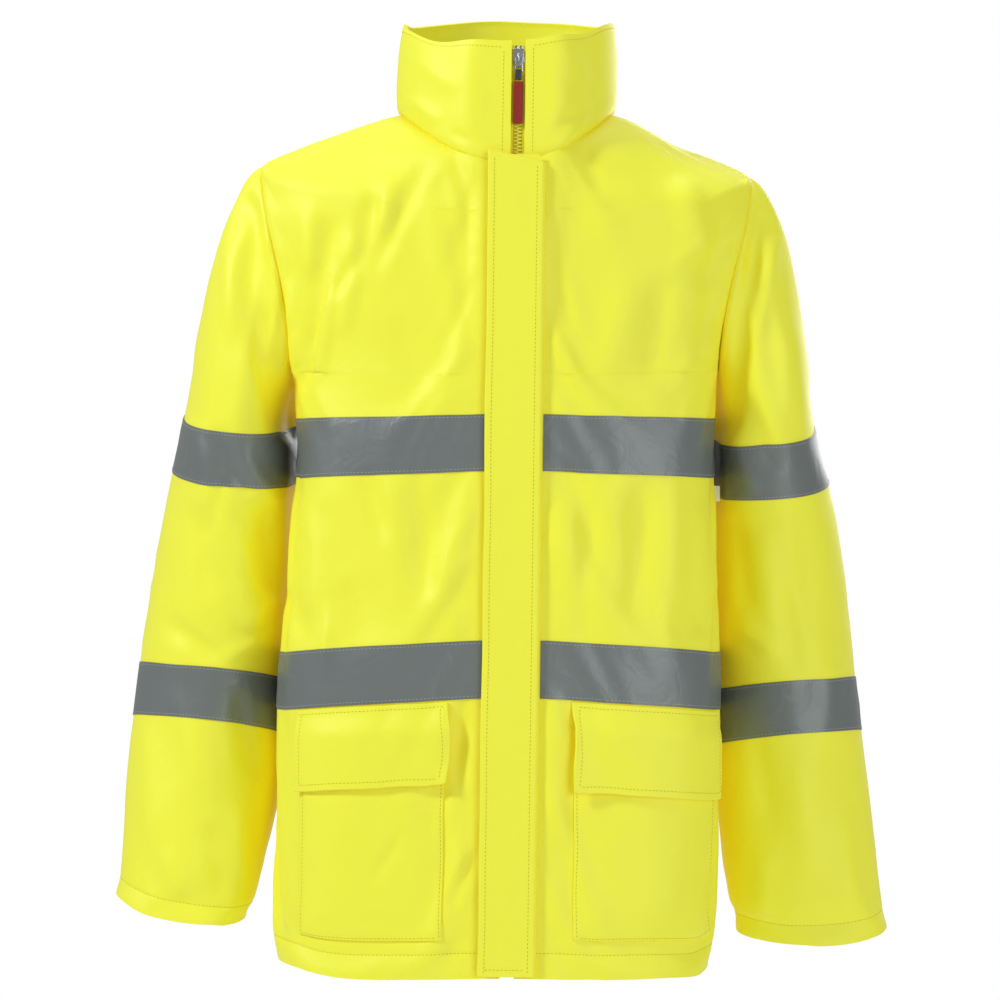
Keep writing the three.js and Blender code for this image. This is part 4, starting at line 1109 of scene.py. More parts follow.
def woven(name, base, rough, pitch, depth):
    """A woven cloth whose threads lie a pitch apart in metres."""
    made, shader = material(name, base, rough, Specular_IOR_Level=0.3)
    if shader is not None:
        bump = weave(made, pitch, depth, "Object")[2]
        made.node_tree.links.new(bump.outputs["Normal"], shader.inputs["Normal"])
    return made


def fuzzy(name, base):
    """Touch-and-close tape: a dense pile of hooks or loops."""
    made, shader = material(name, base, 0.95, Sheen_Weight=0.3)
    if shader is not None:
        place = node(made, "ShaderNodeTexCoord").outputs["Object"]
        pile = node(made, "ShaderNodeTexVoronoi", {"Vector": place, "Scale": 1400.0})
        bump = node(made, "ShaderNodeBump", {"Height": pile.outputs["Distance"], "Strength": 0.9, "Distance": 0.0004})
        made.node_tree.links.new(bump.outputs["Normal"], shader.inputs["Normal"])
    return made


def lining_cloth():
    return woven("lining taffeta", bpy.context.scene.jacket_colours.lining, 0.45, 0.0003, 0.00002)


def thread_of(name, base):
    """Twisted polyester sewing thread."""
    return material(name, base, 0.6, Specular_IOR_Level=0.4)[0]


def yellow_thread():
    # Its yellow is partly the thread's colour and partly painted shade of the stitch grooves.
    return thread_of("yellow thread", bpy.context.scene.jacket_colours.thread)


def grey_thread():
    return thread_of("grey thread", "A4A8A6")


# ---- Pieces -----------------------------------------------------------------------------------------------


def thick(sheet, outside, inside):
    """The two faces of a cloth, so far out from a sheet and so far in."""
    return sheet.raised(np.full(sheet.points.shape[:2], outside)).points, sheet.raised(
        np.full(sheet.points.shape[:2], -inside)).points


def declare(rests_on=()):
    rests_on = joined(rests_on) if rests_on else ()


def put(piece, body, slot, *nodes):
    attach(piece, body)
    if nodes:
        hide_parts(*nodes)
    return piece


def lining_from(sheet, name, keep, gap):
    """A lining inside a sheet, over the rows and columns to keep, on a coarser grid."""
    rows, columns = keep
    points = sheet.points[np.ix_(rows, columns)]
    inside = sheet.inside[np.ix_(rows, columns)] if np.ndim(sheet.inside) == 3 else sheet.inside
    smooth = Sheet(sheet.levels[rows], sheet.shares[columns], points, sheet.ring, inside)
    outer, inner = thick(smooth, -(sizes().shell + gap), sizes().shell + gap + sizes().lining)
    return cloth_piece(name, outer, inner, sheet.ring, lining_cloth(), bevel=0), outer


def every(count, step):
    return np.unique(np.append(np.arange(0, count, step), count - 1))


class JACKET_OT_fronts(bpy.types.Operator):
    """The two fronts with their lining, from the side seams to the zip"""

    bl_idname = "jacket.fronts"
    bl_label = "Fronts"

    def execute(self, context):
        for side in ("right", "left"):
            sheet = front(side)
            outer, inner = thick(sheet, 0, sizes().shell)
            piece = cloth_piece(f"{side} front", outer, inner, False, fluorescent())
            put(piece, "jacket", "shell", f"{side}_front_panel")
            declare()
            rows = every(len(sheet.levels), 3)
            rows = rows[(sheet.levels[rows] >= 12) & (sheet.levels[rows] <= NECK)]
            columns = every(len(sheet.shares), 3)[1:-1]
            lining, flat = lining_from(sheet, f"{side} front inside", (rows, columns), 0.9)
            put(lining, "jacket", "lining", f"{side}_front_lining")
            declare()
        return {"FINISHED"}


class JACKET_OT_back(bpy.types.Operator):
    """The back with its lining"""

    bl_idname = "jacket.back"
    bl_label = "Back"

    def execute(self, context):
        sheet = back()
        outer, inner = thick(sheet, 0, sizes().shell)
        piece = cloth_piece("back", outer, inner, False, fluorescent())
        put(piece, "jacket", "shell", "back_panel")
        declare()
        rows = every(len(sheet.levels), 3)
        rows = rows[(sheet.levels[rows] >= 12) & (sheet.levels[rows] <= NECK)]
        lining, flat = lining_from(sheet, "back inside", (rows, every(len(sheet.shares), 3)[1:-1]), 0.9)
        put(lining, "jacket", "lining", "back_lining")
        declare()
        return {"FINISHED"}


class JACKET_OT_collar(bpy.types.Operator):
    """The stand collar, one padded strip turned over at its top edge"""

    bl_idname = "jacket.collar"
    bl_label = "Collar"

    def execute(self, context):
        sheet = collar_sheet()
        deep = sizes().shell + 2 * SEAM + sizes().lining
        outer, inner = thick(sheet, 0, deep)
        piece = cloth_piece("collar", outer, inner, False, fluorescent(), bevel=1.5)
        put(piece, "jacket", "shell", "collar_outer", "collar_lining")
        declare()
        return {"FINISHED"}


class JACKET_OT_sleeves(bpy.types.Operator):
    """The sleeves with their lining"""

    bl_idname = "jacket.sleeves"
    bl_label = "Sleeves"

    def execute(self, context):
        for side in ("right", "left"):
            sheet, arm = sleeve_sheet(side), f"{side}_arm"
            outer, inner = thick(sheet, 0, sizes().shell)
            piece = cloth_piece(f"{side} sleeve cloth", outer, inner, True, fluorescent())
            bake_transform(piece)
            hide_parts(f"{side}_sleeve")
            declare()
            rows = every(len(sheet.levels), 3)
            level = sheet.levels[rows]
            rows = rows[(level >= 0) & (level <= sheet.levels[-1] - 12)]
            columns = np.arange(0, len(sheet.shares), 2)
            lining, flat = lining_from(sheet, f"{side} sleeve inside", (rows, columns), 0.9)
            put(lining, arm, "lining", f"{side}_sleeve_lining")
            declare()
        return {"FINISHED"}


RING_COLUMNS = 120
BAND_COLUMNS = 96
STITCH_POINTS = 400


def tape_rows(low, high):
    return steps_between([low, high], 3.2)


class JACKET_OT_tapes(bpy.types.Operator):
    """The reflective tape round the body and the sleeves, with the stitching along its edges"""

    bl_idname = "jacket.tapes"
    bl_label = "Reflective tape"

    def band(self, name, sheet, low, high, first, last, ring=False):
        levels = tape_rows(low, high)
        if ring:
            shares = np.arange(RING_COLUMNS) / RING_COLUMNS
            share = shares[None] + 0 * levels[:, None]
        else:
            shares = np.linspace(0, 1, BAND_COLUMNS)
            ends = np.array([last(level) for level in levels]) if callable(last) else np.full(len(levels), last)
            share = first + (ends[:, None] - first) * shares[None]
        level = levels[:, None] + 0 * share
        tape = sizes().tape
        outer, inner = sheet.at(level, share, 0.12 + tape), sheet.at(level, share, 0.12)
        piece = cloth_piece(name, outer, inner, ring, reflective(), bevel=0.25)
        lines = []
        for height in (low + 2.4, high - 2.4):
            row = np.linspace(0, 1, STITCH_POINTS)
            end = np.interp(height, levels, share[:, -1])
            across = row if ring else first + (end - first) * (0.004 + row * 0.992)
            lines.append(run_along(sheet, height, across, 0.12 + tape + 0.1))
        return piece, lines

    def execute(self, context):
        wide, lines = sizes().tape_width, []
        for label, low in (("chest", sizes().chest_tape), ("waist", sizes().waist_tape)):
            for side, sign in (("right", -1), ("left", 1)):
                sheet = front(side)
                gap = 23.6 if side == "right" else 25.6
                end = lambda level: float(SHEETS["pattern", side].share_at(level, sign * gap)[0])
                piece, runs = self.band(f"{side} {label} band", sheet, low, low + wide, 0.002, end)
                put(piece, "jacket", "reflective", f"{side}_{label}_tape")
                declare(f"{side} front")
                lines += runs
            piece, runs = self.band(f"back {label} band", back(), low, low + wide, 0.001, 0.999)
            put(piece, "jacket", "reflective", f"back_{label}_tape")
            declare("back")
            lines += runs
        sewn("tape stitching", lines, "jacket", grey_thread())
        for side in ("right", "left"):
            sheet, runs = sleeve_sheet(side), []
            for label, centre in zip(("upper", "lower"), SLEEVE_TAPE_CENTRES):
                low, high = centre - wide / 2, centre + wide / 2
                piece, more = self.band(f"{side} {label} sleeve band", sheet, low, high, 0, 1, ring=True)
                put(piece, f"{side}_arm", "reflective", f"{side}_sleeve_{label}_tape")
                declare(f"{side} sleeve cloth")
                runs += more
            sewn(f"{side} sleeve tape stitching", runs, f"{side}_arm", grey_thread())
        return {"FINISHED"}


POCKET = {"inset": 57.0, "bottom": 34.0, "top": 214.0, "flap_top": 238.6}
POCKET_FAR = {"right": 181.0, "left": 176.0}
FLAP_BOTTOM = {"right": 167.0, "left": 160.5}  # the left flap hangs a little lower


def pocket_field(side, levels, columns, near, far):
    """The shares across a front between two distances from the zip, as a grid."""
    front(side)
    sheet, sign = SHEETS["pattern", side], (-1 if side == "right" else 1)
    ends = [(float(sheet.share_at(v, sign * far)[0]), float(sheet.share_at(v, sign * near)[0])) for v in levels]
    ends = np.array(ends)
    return ends[:, :1] + (ends[:, 1:] - ends[:, :1]) * np.linspace(0, 1, columns)[None]


class JACKET_OT_pockets(bpy.types.Operator):
    """The patch pockets, their flaps, and the touch-and-close strips under the flaps"""

    bl_idname = "jacket.pockets"
    bl_label = "Pockets"

    def execute(self, context):
        p = POCKET
        for side in ("right", "left"):
            sheet = front(side)
            seed = 40.0 if side == "right" else 52.0
            levels = steps_between([p["bottom"], p["bottom"] + 8, p["top"]], 4, fine=(36, 38))
            share = pocket_field(side, levels, 64, p["inset"], POCKET_FAR[side])
            level = levels[:, None] + 0 * share
            base = sheet.at(level, share)
            across = np.linspace(0, 1, 64)[None] * 128
            edge = np.minimum(np.minimum(across, 128 - across), level - p["bottom"])
            crown = 2.4 * smoothstep(edge, 0, 34) + 1.1 * smoothstep(edge, 0, 5)
            crown += 0.7 * waves(base, 46, 1.4, seed) * smoothstep(edge, 4, 20)
            if side == "right":
                dent = along_segment(base[..., 0], base[..., 2], (-86, 124, -112, 82, 6, 1))
                crown -= 1.8 * dent * smoothstep(edge, 0, 12)
            outer, inner = sheet.at(level, share, crown + 1.7), sheet.at(level, share, crown + 0.15)
            bag = cloth_piece(f"{side} pocket bag", outer, inner, False, fluorescent(), bevel=0.6)
            put(bag, "jacket", "shell", f"{side}_pocket")
            declare(f"{side} front")
            bag_sheet = Sheet(levels, np.linspace(0, 1, 64), outer, False, outer + WELL_INSIDE)
            row = np.linspace(0.02, 0.98, 200)
            lines = [run_along(bag_sheet, p["bottom"] + 2.2, row, 0.1)]
            rise = np.linspace(p["bottom"] + 2.2, p["top"] - 2, 200)
            for at in (0.018, 0.982):
                lines.append(run_along(bag_sheet, rise, at, 0.1))
            lines.append(run_along(bag_sheet, p["top"] - 14, row, 0.1))
            sewn(f"{side} pocket stitching", lines, "jacket", yellow_thread())
            self.flap(side, sheet, seed)
        return {"FINISHED"}

    def flap(self, side, sheet, seed):
        p = POCKET
        levels = steps_between([FLAP_BOTTOM[side], FLAP_BOTTOM[side] + 6, p["flap_top"]], 3.4)
        share = pocket_field(side, levels, 70, p["inset"] - 3.2, POCKET_FAR[side] + 3.5)
        level = levels[:, None] + 0 * share
        base = sheet.at(level, share)
        drop = smoothstep(p["flap_top"] - level, 0, 26)
        lift = 0.4 + 6.7 * drop + 0.6 * np.abs(waves(base, 60, 1.0, seed + 3)) * drop
        row = np.linspace(0, 1, 70)[None] + 0 * level
        lift *= 0.5 + 0.5 * smoothstep(row, 0, 0.3)
        lift += 1.2 * smoothstep(row, 0.8, 1.0) * smoothstep(p["flap_top"] - level, 30, 72)
        outer, inner = sheet.at(level, share, lift + sizes().shell), sheet.at(level, share, lift)
        flap = cloth_piece(f"{side} flap of pocket", outer, inner, False, fluorescent(), bevel=0.9)
        put(flap, f"{side}_flap", "shell", f"{side}_pocket_flap")
        declare(f"{side} front")
        face = Sheet(levels, np.linspace(0, 1, 70), outer, False, outer + WELL_INSIDE)
        row = np.linspace(0.045, 0.955, 200)
        lines = [
            run_along(face, FLAP_BOTTOM[side] + 6, row, 0.1),
            run_along(face, p["flap_top"] - 4, np.linspace(0.02, 0.98, 200), 0.1),
        ]
        rise = np.linspace(FLAP_BOTTOM[side] + 6, p["flap_top"] - 4, 120)
        for at in (0.045, 0.955):
            lines.append(run_along(face, rise, at, 0.1))
        sewn(f"{side} flap stitching", lines, f"{side}_flap", yellow_thread())
        # The loop strip lies on the pocket and the hook strip on the flap's inner face.
        middle = (FLAP_BOTTOM[side] + p["top"]) / 2
        strip_levels = steps_between([middle - 8, middle + 8], 2)
        strip_share = pocket_field(side, strip_levels, 20, 96, 138)
        grid = strip_levels[:, None] + 0 * strip_share
        for word, lift, body in (("loop", 5.9, "jacket"), ("hook", 6.5, f"{side}_flap")):
            outer, inner = sheet.at(grid, strip_share, lift + 0.55), sheet.at(grid, strip_share, lift)
            strip = cloth_piece(f"{side} pocket {word} tape", outer, inner, False, touch_and_close(), bevel=0)
            put(strip, body, "touch_and_close", f"{side}_pocket_{word}_strip")
            under = f"{side} pocket bag" if word == "loop" else f"{side} flap of pocket"
            declare(under)


def touch_and_close():
    return fuzzy("touch-and-close tape", "DDE048")


# ---- The zip's own frame: across, inwards and up the front line ------------------------------------------

UP_LINE = np.array([FRONT_LEAN, FRONT_SLOPE, 1.0]) / np.linalg.norm([FRONT_LEAN, FRONT_SLOPE, 1.0])
INWARD = np.array([0.0, 1.0, -FRONT_SLOPE]) / np.linalg.norm([0.0, 1.0, -FRONT_SLOPE])
ACROSS = np.cross(INWARD, UP_LINE)


def on_line(across, inward, up):
    """Points in the frame of the front line, as millimetres from the hem."""
    across, inward, up = np.broadcast_arrays(*(np.asarray(v, float)[..., None] for v in (across, inward, up)))
    return np.array([ZIP_FOOT_X, HEM_FRONT_Y, 0.0]) + ACROSS * across + INWARD * inward + UP_LINE * up


def line_matrix():
    """Takes millimetres in the front line's frame to the row frame's metres."""
    turn = Matrix([[*(axis[k] * MM for axis in (ACROSS, INWARD, UP_LINE)), 0] for k in range(3)] + [[0, 0, 0, 1]])
    turn.translation = Vector(to_frame([ZIP_FOOT_X, HEM_FRONT_Y, 0.0]))
    return turn


STORM = {"half": 25.0, "top": 715.0, "bottom": 2.0, "face": -6.0, "cloth": 1.3}


class JACKET_OT_storm_flap(bpy.types.Operator):
    """The storm flap over the zip, sewn to the left front and closed with touch-and-close tape"""

    bl_idname = "jacket.storm_flap"
    bl_label = "Storm flap"

    def execute(self, context):
        half, face = STORM["half"], STORM["face"]
        up = steps_between([STORM["bottom"], STORM["bottom"] + 4, STORM["top"]], 3.2)
        turn = np.linspace(0, math.pi / 2, 6)[1:]
        flat = np.linspace(-half, half - 4, 34)
        across = np.concatenate([flat, half - 4 + 4 * np.sin(turn), [half, half]])
        inward = np.concatenate([np.full(34, face), face + 4 * (1 - np.cos(turn)), [-1.4, -0.45]])
        normal_x = np.concatenate([np.zeros(34), np.sin(turn), [1, 1]])
        normal_y = -np.concatenate([np.ones(34), np.cos(turn), [0, 0]])
        level, x = np.meshgrid(up, across, indexing="ij")
        y = inward[None] + 0 * level
        level = level - 10 * smoothstep(level, 640, STORM["top"]) * (x + half) / (2 * half)
        free = smoothstep(half - x, 4, 30)
        wander = np.array([noise.noise(Vector((k / 70, 4.4, 0))) for k in up])[:, None]
        ripple = waves(on_line(x, y, level), 34, 1.6, 61.0)
        ends = np.exp(-(((level - STORM["top"]) / 70) ** 2)) + np.exp(-(((level - 60) / 90) ** 2))
        y = y + free * (0.55 * ripple * (0.5 + ends) + 0.35 * wander) - 0.5 * free * ends
        y = y - 0.3 * np.exp(-(((x + half - 3) / 2.5) ** 2))
        x = x + 0.8 * wander * smoothstep(half - x, 30, 50)
        cloth = STORM["cloth"]
        outer, inner = on_line(x, y, level), on_line(x - normal_x * cloth, y - normal_y * cloth, level)
        flap = cloth_piece("storm flap cover", outer, inner, False, fluorescent(), bevel=0.5)
        put(flap, "storm_flap", "shell", "storm_flap")
        declare("left front")
        rows = up[(up >= 4) & (up <= STORM["top"] - 2)]
        fx = np.linspace(-half + 1, half - 4.8, 16)
        row, column = np.meshgrid(rows, fx, indexing="ij")
        under, behind = on_line(column, -4.25, row), on_line(column, -3.45, row)
        facing = cloth_piece("storm flap backing", under, behind, False, fluorescent(), bevel=0)
        put(facing, "storm_flap", "shell", "storm_flap_facing")
        declare("storm flap cover")
        column_shares = np.linspace(0, 1, len(across))
        skin = Sheet(up, column_shares, outer, False, outer + WELL_INSIDE)
        run = np.linspace(STORM["bottom"] + 3, STORM["top"] - 3, 900)
        face_part = slice(len(flat) + 3)
        shares = np.interp([-half + 5.5, half - 7.5], across[face_part], column_shares[face_part])
        lines = [run_along(skin, run, share, 0.1) for share in shares]
        ends_run = np.linspace(shares[0], shares[1], 60)
        lines.append(run_along(skin, STORM["bottom"] + 6, ends_run, 0.1))
        sewn("storm flap stitching", lines, "storm_flap", yellow_thread())
        for kind in ("storm_flap_hook_strip", "front_loop_strip"):
            for number in range(1, 5):
                self.strip(f"{kind}_{number}")
        return {"FINISHED"}

    def strip(self, name):
        """A touch-and-close strip with softened edges, where the plain one was."""
        number = int(name[-1]) - 1
        middle = (62, 268, 474, 668)[number]
        hook = name.startswith("storm")
        deep = (-3.0, -1.8) if hook else (-1.4, -0.35)
        low, high = (-22.5, deep[0], middle - 26), (-9.5, deep[1], middle + 26)
        strip = block(name + "_pile", low, high, 0.35, touch_and_close())
        put(strip, "storm_flap" if hook else "jacket", "touch_and_close", name)


def block(name, low, high, bevel, look, segments=2):
    """A rounded block in the front line's frame, from one corner to the other."""
    piece = raw_block(name, low, high)
    round_edges(piece, bevel, segments)
    piece.data.transform(line_matrix())
    finish_hard(piece, look)
    return piece


def round_edges(piece, bevel, segments=2):
    if bevel:
        modifier = piece.modifiers.new("edge", "BEVEL")
        modifier.width = bevel
        modifier.segments = segments
        modifier.limit_method = "ANGLE"
        apply_all(piece)


def finish_hard(piece, look, smooth=35.0):
    piece.data.materials.clear()
    piece.data.materials.append(look)
    turn_out(piece)
    shade_smooth(piece, smooth)


def cut(piece, *holes):
    """Cuts blocks, each given by its low and high corner, out of a piece."""
    for low, high in holes:
        bpy.ops.mesh.primitive_cube_add(size=1)
        tool = bpy.context.object
        low, high = np.array(low, float), np.array(high, float)
        tool.data.transform(Matrix.Translation(Vector((low + high) / 2)) @ Matrix.Diagonal((*(high - low), 1.0)))
        modifier = piece.modifiers.new("cut", "BOOLEAN")
        modifier.object = tool
        modifier.operation = "DIFFERENCE"
        modifier.solver = "EXACT"
        apply_all(piece)
        bpy.data.objects.remove(tool)


def raw_block(name, low, high):
    bpy.ops.mesh.primitive_cube_add(size=1)
    piece = bpy.context.object
    piece.name = piece.data.name = joined(name)
    low, high = np.array(low, float), np.array(high, float)
    piece.data.transform(Matrix.Translation(Vector((low + high) / 2)) @ Matrix.Diagonal((*(high - low), 1.0)))
    return piece


ZIP = {"bottom": 5.0, "top": 808.0, "plane": 3.6, "slider": 797.0, "teeth_top": 789.0}


class JACKET_OT_zip(bpy.types.Operator):
    """The moulded zip: its tapes, teeth, stops, box, slider, puller and pull tab, and the guard behind it"""

    bl_idname = "jacket.zip"
    bl_label = "Zip"

    def execute(self, context):
        colours = context.scene.jacket_colours
        nickel = material("nickel plate", colours.nickel, 0.24, 1.0)[0]
        moulded = material("acetal", colours.teeth, 0.38, Specular_IOR_Level=0.5)[0]
        plane = ZIP["plane"]
        for side, sign in (("right", -1), ("left", 1)):
            up = steps_between([ZIP["bottom"], ZIP["top"]], 6)
            across = np.linspace(3.9, 13, 8) * sign
            row, column = np.meshgrid(up, across, indexing="ij")
            cloth = woven("woven zip tape", colours.zip_tape, 0.7, 0.0009, 0.00012)
            tape = cloth_piece(f"{side} zip tape", on_line(column, plane - 0.4 + 0 * row, row),
                               on_line(column, plane + 0.4 + 0 * row, row), False, cloth, bevel=0)
            put(tape, "jacket", "zip_tape", f"zip_tape_{side}")
            declare(f"{side} front")
            self.teeth(side, sign, moulded)
            low, high = sorted((sign * 0.7, sign * 3.4))
            lowest, highest = (low, plane - 1.2, ZIP["slider"] + 8.4), (high, plane + 1.2, ZIP["top"])
            stop = block(f"{side} top stop", lowest, highest, 0.4, nickel)
            put(stop, "jacket", "nickel", f"zip_top_stop_{side}")
        lowest, highest = (-3.4, plane - 1.4, ZIP["bottom"]), (3.4, plane + 1.4, ZIP["bottom"] + 9)
        box = block("zip end box", lowest, highest, 0.6, moulded)
        put(box, "jacket", "zip_teeth", "zip_box")
        self.slider(nickel)
        self.puller(nickel)
        rubber = material("moulded rubber", colours.tab, 0.5, Specular_IOR_Level=0.4)[0]
        holder = material("moulded nylon", colours.holder, 0.4)[0]
        y = BAR_Y
        grip = block("pull tab holder", (-2.9, y - 1.5, HOLDER_TOP - 9.2), (2.9, y + 1.5, HOLDER_TOP), 0.7, holder, 3)
        put(grip, "tab", "tab_holder", "tab_holder")
        tab = raw_block("pull tab", (-4.3, y - 1.1, TAB_TOP - 37), (4.3, y + 1.1, TAB_TOP))
        round_edges(tab, 0.5, 3)
        ridges = [raw_block("ridge", (-3.0, y - 1.4, TAB_TOP - z - 0.7), (3.0, y, TAB_TOP - z + 0.7)) for z in (4, 33)]
        rims = [raw_block("rim", (x - 0.35, y - 1.35, TAB_TOP - 34), (x + 0.35, y, TAB_TOP - 3)) for x in (-3.2, 3.2)]
        for extra in ridges + rims:
            round_edges(extra, 0.2)
        choose(tab, *ridges, *rims)
        bpy.ops.object.join()
        tab.data.transform(line_matrix())
        finish_hard(tab, rubber)
        put(tab, "tab", "tab_red", "zip_tab")
        self.guard()
        return {"FINISHED"}

    def teeth(self, side, sign, look):
        """A row of moulded teeth, each with a head that locks behind the next."""
        plane, pitch = ZIP["plane"], sizes().tooth_pitch
        shift = 0.0 if sign > 0 else pitch / 2
        low, high = sorted((sign * 1.1, sign * 3.5))
        tooth = raw_block("tooth", (low, plane - 1.2, 14.6 + shift), (high, plane + 1.2, 14.6 + shift + pitch * 0.5))
        low, high = sorted((-sign * 0.6, sign * 1.4))
        head = raw_block("head", (low, plane - 0.85, 14.7 + shift), (high, plane + 0.85, 14.5 + shift + pitch * 0.5))
        choose(tooth, head)
        bpy.ops.object.join()
        round_edges(tooth, 0.18, 1)
        modifier = tooth.modifiers.new("row", "ARRAY")
        modifier.use_relative_offset = False
        modifier.use_constant_offset = True
        modifier.constant_offset_displace = (0, 0, pitch)
        modifier.count = int((ZIP["teeth_top"] - 16) // pitch)
        apply_all(tooth)
        tooth.name = tooth.data.name = f"{side}_teeth"
        tooth.data.transform(line_matrix())
        finish_hard(tooth, look)
        put(tooth, "jacket", "zip_teeth", f"zip_teeth_{side}")

    def slider(self, look):
        """Two plates with lips at their sides, and the arch that carries the puller."""
        plane, middle = ZIP["plane"], ZIP["slider"]
        front_face = plane - 2.7
        plates = []
        for low, high in ((front_face, front_face + 1.15), (plane + 1.55, plane + 2.7)):
            plate = raw_block("zip slider body", (-5, low, middle - 8), (5, high, middle + 8))
            narrow_foot(plate, middle - 8, 0.72)
            round_edges(plate, 0.45, 3)
            plates.append(plate)
        for sign in (-1, 1):
            for low, high in ((front_face, plane - 0.75), (plane + 0.75, plane + 2.7)):
                a, b = sorted((sign * 4.1, sign * 5))
                lip = raw_block("lip", (a, low + 0.1, middle - 5), (b, high - 0.1, middle + 6))
                round_edges(lip, 0.2)
                plates.append(lip)
        choose(*plates)
        bpy.ops.object.join()
        slider = plates[0]
        slider.data.transform(line_matrix())
        finish_hard(slider, look)
        put(slider, "slider", "nickel", "zip_slider")
        bpy.ops.mesh.primitive_torus_add(
            major_radius=3.0, minor_radius=0.65, major_segments=32, minor_segments=10, rotation=(0, math.pi / 2, 0),
        )
        arch = bpy.context.object
        arch.name = arch.data.name = "slider_arch"
        turned = Matrix.Rotation(math.pi / 2, 4, "Y")
        arch.matrix_world = Matrix.Identity(4)
        arch.data.transform(turned)
        arch.data.transform(Matrix.Translation((0, front_face + 0.1, middle)) @ Matrix.Diagonal((1.35, 0.86, 1.22, 1)))
        cut(arch, ((-6, front_face + 0.6, middle - 9), (6, plane + 3, middle + 9)))
        arch.data.transform(line_matrix())
        finish_hard(arch, look, 60)
        put(arch, "slider", "nickel", "zip_bail")

    def puller(self, look):
        y = BAR_Y
        frame_piece = raw_block("zip pull frame", (-3.7, y - 0.65, PULLER_END), (3.7, y + 0.65, ZIP["slider"] + 0.7))
        top = ZIP["slider"]
        cut(frame_piece,
            ((-2.4, y - 2, top - 6.2), (2.4, y + 2, top - 0.7)),
            ((-2.4, y - 2, PULLER_END + 1.4), (2.4, y + 2, PULLER_END + 4.8)))
        round_edges(frame_piece, 0.3, 2)
        frame_piece.data.transform(line_matrix())
        finish_hard(frame_piece, look)
        put(frame_piece, "puller", "nickel", "zip_puller")

    def guard(self):
        up, across = np.meshgrid(steps_between([8, 800], 6), np.linspace(-23, 23, 20), indexing="ij")
        deep = ZIP["plane"] + 3.15
        outer, inner = on_line(across, deep, up), on_line(across, deep + 1.7, up)
        guard = cloth_piece("zip guard cloth", outer, inner, False, fluorescent(), bevel=0.5)
        put(guard, "jacket", "shell", "zip_guard")
        declare("left front")


# The puller's bar lies under the slider's arch, in front of the slider's plate.
BAR_Y = ZIP["plane"] - 1.6 - 1.1 - 1.05
PULLER_END = ZIP["slider"] - 6.2 - 1.4 - 3.4 - 1.4
HOLDER_TOP = PULLER_END + 1.9
TAB_TOP = PULLER_END + 0.7 - 9.4


def narrow_foot(piece, foot, share):
    """Narrows a slider plate's lower end."""
    for vertex in piece.data.vertices:
        if abs(vertex.co.z - foot) < 0.01:
            vertex.co.x *= share


class JACKET_OT_details(bpy.types.Operator):
    """The hanger loop, the side label, and the seams' and hems' stitching"""

    bl_idname = "jacket.details"
    bl_label = "Hanger loop, label and stitching"

    def execute(self, context):
        self.hanger()
        self.label()
        hem, lines = sizes().hem_fold, []
        for side in ("right", "left"):
            sheet = front(side)
            inner = float(sheet.share_at(hem, (-1 if side == "right" else 1) * 14)[0])
            lines.append(run_along(sheet, hem, np.linspace(0.004, inner, 400), 0.12))
            near = sheet.share_at(np.array([30.0, 700.0]), (-1 if side == "right" else 1) * 13)
            rise = np.linspace(6, NECK - 6, 600)
            lines.append(run_along(sheet, rise, np.interp(rise, [30, 700], near), 0.12))
        lines.append(run_along(back(), hem, np.linspace(0.004, 0.996, 700), 0.12))
        sewn("hem stitching", lines, "jacket", yellow_thread())
        collar_face = collar_sheet()
        lines = [run_along(collar_face, 94.5, np.linspace(0.012, 0.988, 500), 0.1)]
        rise = np.linspace(6, 94.5, 60)
        lines += [run_along(collar_face, rise, at, 0.1) for at in (0.012, 0.988)]
        sewn("collar stitching", lines, "jacket", yellow_thread())
        for side in ("right", "left"):
            sheet = sleeve_sheet(side)
            end = sheet.levels[-1]
            lines = [run_along(sheet, end - 20.5, np.linspace(0, 1, 400), 0.12)]
            sewn(f"{side} cuff stitching", lines, f"{side}_arm", yellow_thread())
        return {"FINISHED"}

    def hanger(self):
        """A folded strip sewn inside the back of the collar at both ends."""
        half, top, thick_by = 31.0, 794.0, 1.6
        t = np.linspace(-1, 1, 41)
        x = half * t * (1 - 0.05 * np.abs(t) ** 8)
        rise = 20 * np.abs(t) ** 7
        middle = 62.9
        y = np.linspace(-6.5, 3.5, 9)
        grid_x, grid_y = np.meshgrid(x, y, indexing="ij")
        grid_z = top + thick_by - rise[:, None] + 0 * grid_y
        slope = np.gradient(top + thick_by - rise, x)
        normal = np.stack([slope, 0 * slope, -np.ones_like(slope)], axis=-1)
        normal /= np.linalg.norm(normal, axis=-1, keepdims=True)
        outer = np.stack([grid_x, middle + grid_y, grid_z], axis=-1)
        inner = outer + normal[:, None] * thick_by
        loop = cloth_piece("hanger strap", outer, inner, False, fluorescent(), bevel=0.4)
        put(loop, "jacket", "shell", "hanger_loop")
        declare("collar")

    def label(self):
        """A small white label caught in the wearer's left side seam."""
        place = body_surface(np.array([0.0]), np.array([422.0]))[0]
        out, rise = np.meshgrid(np.linspace(-4, 6, 12), np.linspace(-7, 7, 14), indexing="ij")
        bend = -1.6 * smoothstep(out, 0, 6) ** 2
        outer = place + np.stack([out, bend - 0.3, rise], axis=-1)
        inner = place + np.stack([out, bend + 0.3, rise], axis=-1)
        look = woven("woven label", bpy.context.scene.jacket_colours.label, 0.6, 0.0003, 0.00003)
        tag = cloth_piece("side tag", outer, inner, False, look, bevel=0)
        put(tag, "jacket", "label", "side_label")
        declare("back")


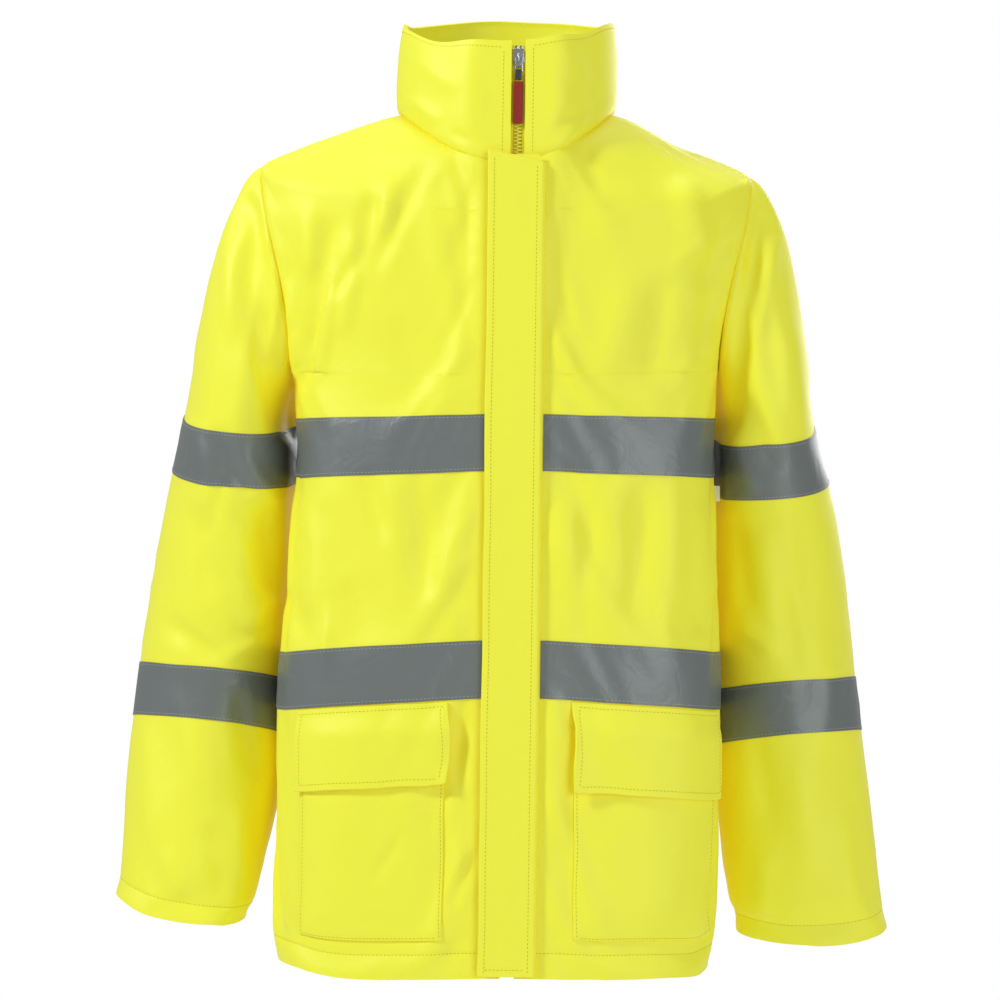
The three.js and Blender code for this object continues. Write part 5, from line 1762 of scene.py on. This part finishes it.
class JACKET_OT_stage(bpy.types.Operator):
    """The floor, the lights and the camera"""

    bl_idname = "jacket.stage"
    bl_label = "Stage"

    def execute(self, context):
        bpy.ops.mesh.primitive_plane_add(size=14)
        floor = bpy.context.object
        floor.name = floor.data.name = "floor"
        floor.data.transform(Matrix.Translation((0, 0, -1.6)))
        floor.visible_camera = False
        floor.data.materials.append(material("pale floor", "F4F4F2", 0.9)[0])
        context.scene.view_settings.view_transform = "Standard"
        world = context.scene.world or bpy.data.worlds.new("studio")
        context.scene.world = world
        world.use_nodes = True
        background = world.node_tree.nodes["Background"]
        background.inputs["Color"].default_value = srgb("FFFFFF")
        # White behind the jacket, and a softer light on it
        seen = world.node_tree.nodes.new("ShaderNodeLightPath").outputs["Is Camera Ray"]
        strength = world.node_tree.nodes.new("ShaderNodeMapRange")
        strength.inputs["To Min"].default_value, strength.inputs["To Max"].default_value = 0.34, 1.0
        world.node_tree.links.new(seen, strength.inputs["Value"])
        world.node_tree.links.new(strength.outputs["Result"], background.inputs["Strength"])
        target = Vector((0, -0.05, -0.4))
        for name, place, size, power in (
            ("key", (-2.4, -1.4, 1.6), 0.5, 62), ("fill", (2.0, -2.9, 0.0), 1.8, 34), ("top", (0.2, 0.4, 2.2), 1.4, 22),
            ("back", (1.4, 2.9, 0.6), 1.8, 40),
        ):
            lamp = bpy.data.lights.new(name, "AREA")
            lamp.energy, lamp.size = power, size
            light = bpy.data.objects.new(name, lamp)
            context.collection.objects.link(light)
            light.location = place
            light.rotation_euler = (target - Vector(place)).to_track_quat("-Z", "Y").to_euler()
        camera = bpy.data.objects.new("camera", bpy.data.cameras.new("camera"))
        context.collection.objects.link(camera)
        camera.location = (-0.0027, -3.0629, -0.383)
        camera.rotation_euler = (math.pi / 2, 0, 0)
        camera.data.lens = 120
        camera.data.sensor_width = 36
        context.scene.camera = camera
        return {"FINISHED"}


PIECES = (
    JACKET_OT_fronts, JACKET_OT_back, JACKET_OT_collar, JACKET_OT_sleeves, JACKET_OT_tapes, JACKET_OT_pockets,
    JACKET_OT_storm_flap, JACKET_OT_zip, JACKET_OT_details, JACKET_OT_stage,
)


class JACKET_PT_panel(bpy.types.Panel):
    """The sizes, the colours and a button for each group of pieces"""

    bl_idname = "JACKET_PT_panel"
    bl_label = "Foul weather jacket"
    bl_space_type = "VIEW_3D"
    bl_region_type = "UI"
    bl_category = "Jacket"

    def draw(self, context):
        for group in (context.scene.jacket_sizes, context.scene.jacket_colours):
            box = self.layout.box()
            for name in type(group).__annotations__:
                box.prop(group, name)
        for piece in PIECES:
            self.layout.operator(piece.bl_idname)


CLASSES = (JacketSizes, JacketColours, *PIECES, JACKET_PT_panel)


def register():
    for one in CLASSES:
        bpy.utils.register_class(one)
    bpy.types.Scene.jacket_sizes = bpy.props.PointerProperty(type=JacketSizes)
    bpy.types.Scene.jacket_colours = bpy.props.PointerProperty(type=JacketColours)


def unregister():
    del bpy.types.Scene.jacket_colours
    del bpy.types.Scene.jacket_sizes
    for one in reversed(CLASSES):
        bpy.utils.unregister_class(one)


def main():
    register()
    bpy.ops.object.select_all(action="DESELECT")
    for piece in PIECES:
        group, name = piece.bl_idname.split(".")
        getattr(getattr(bpy.ops, group), name)()


if __name__ == "__main__":
    main()
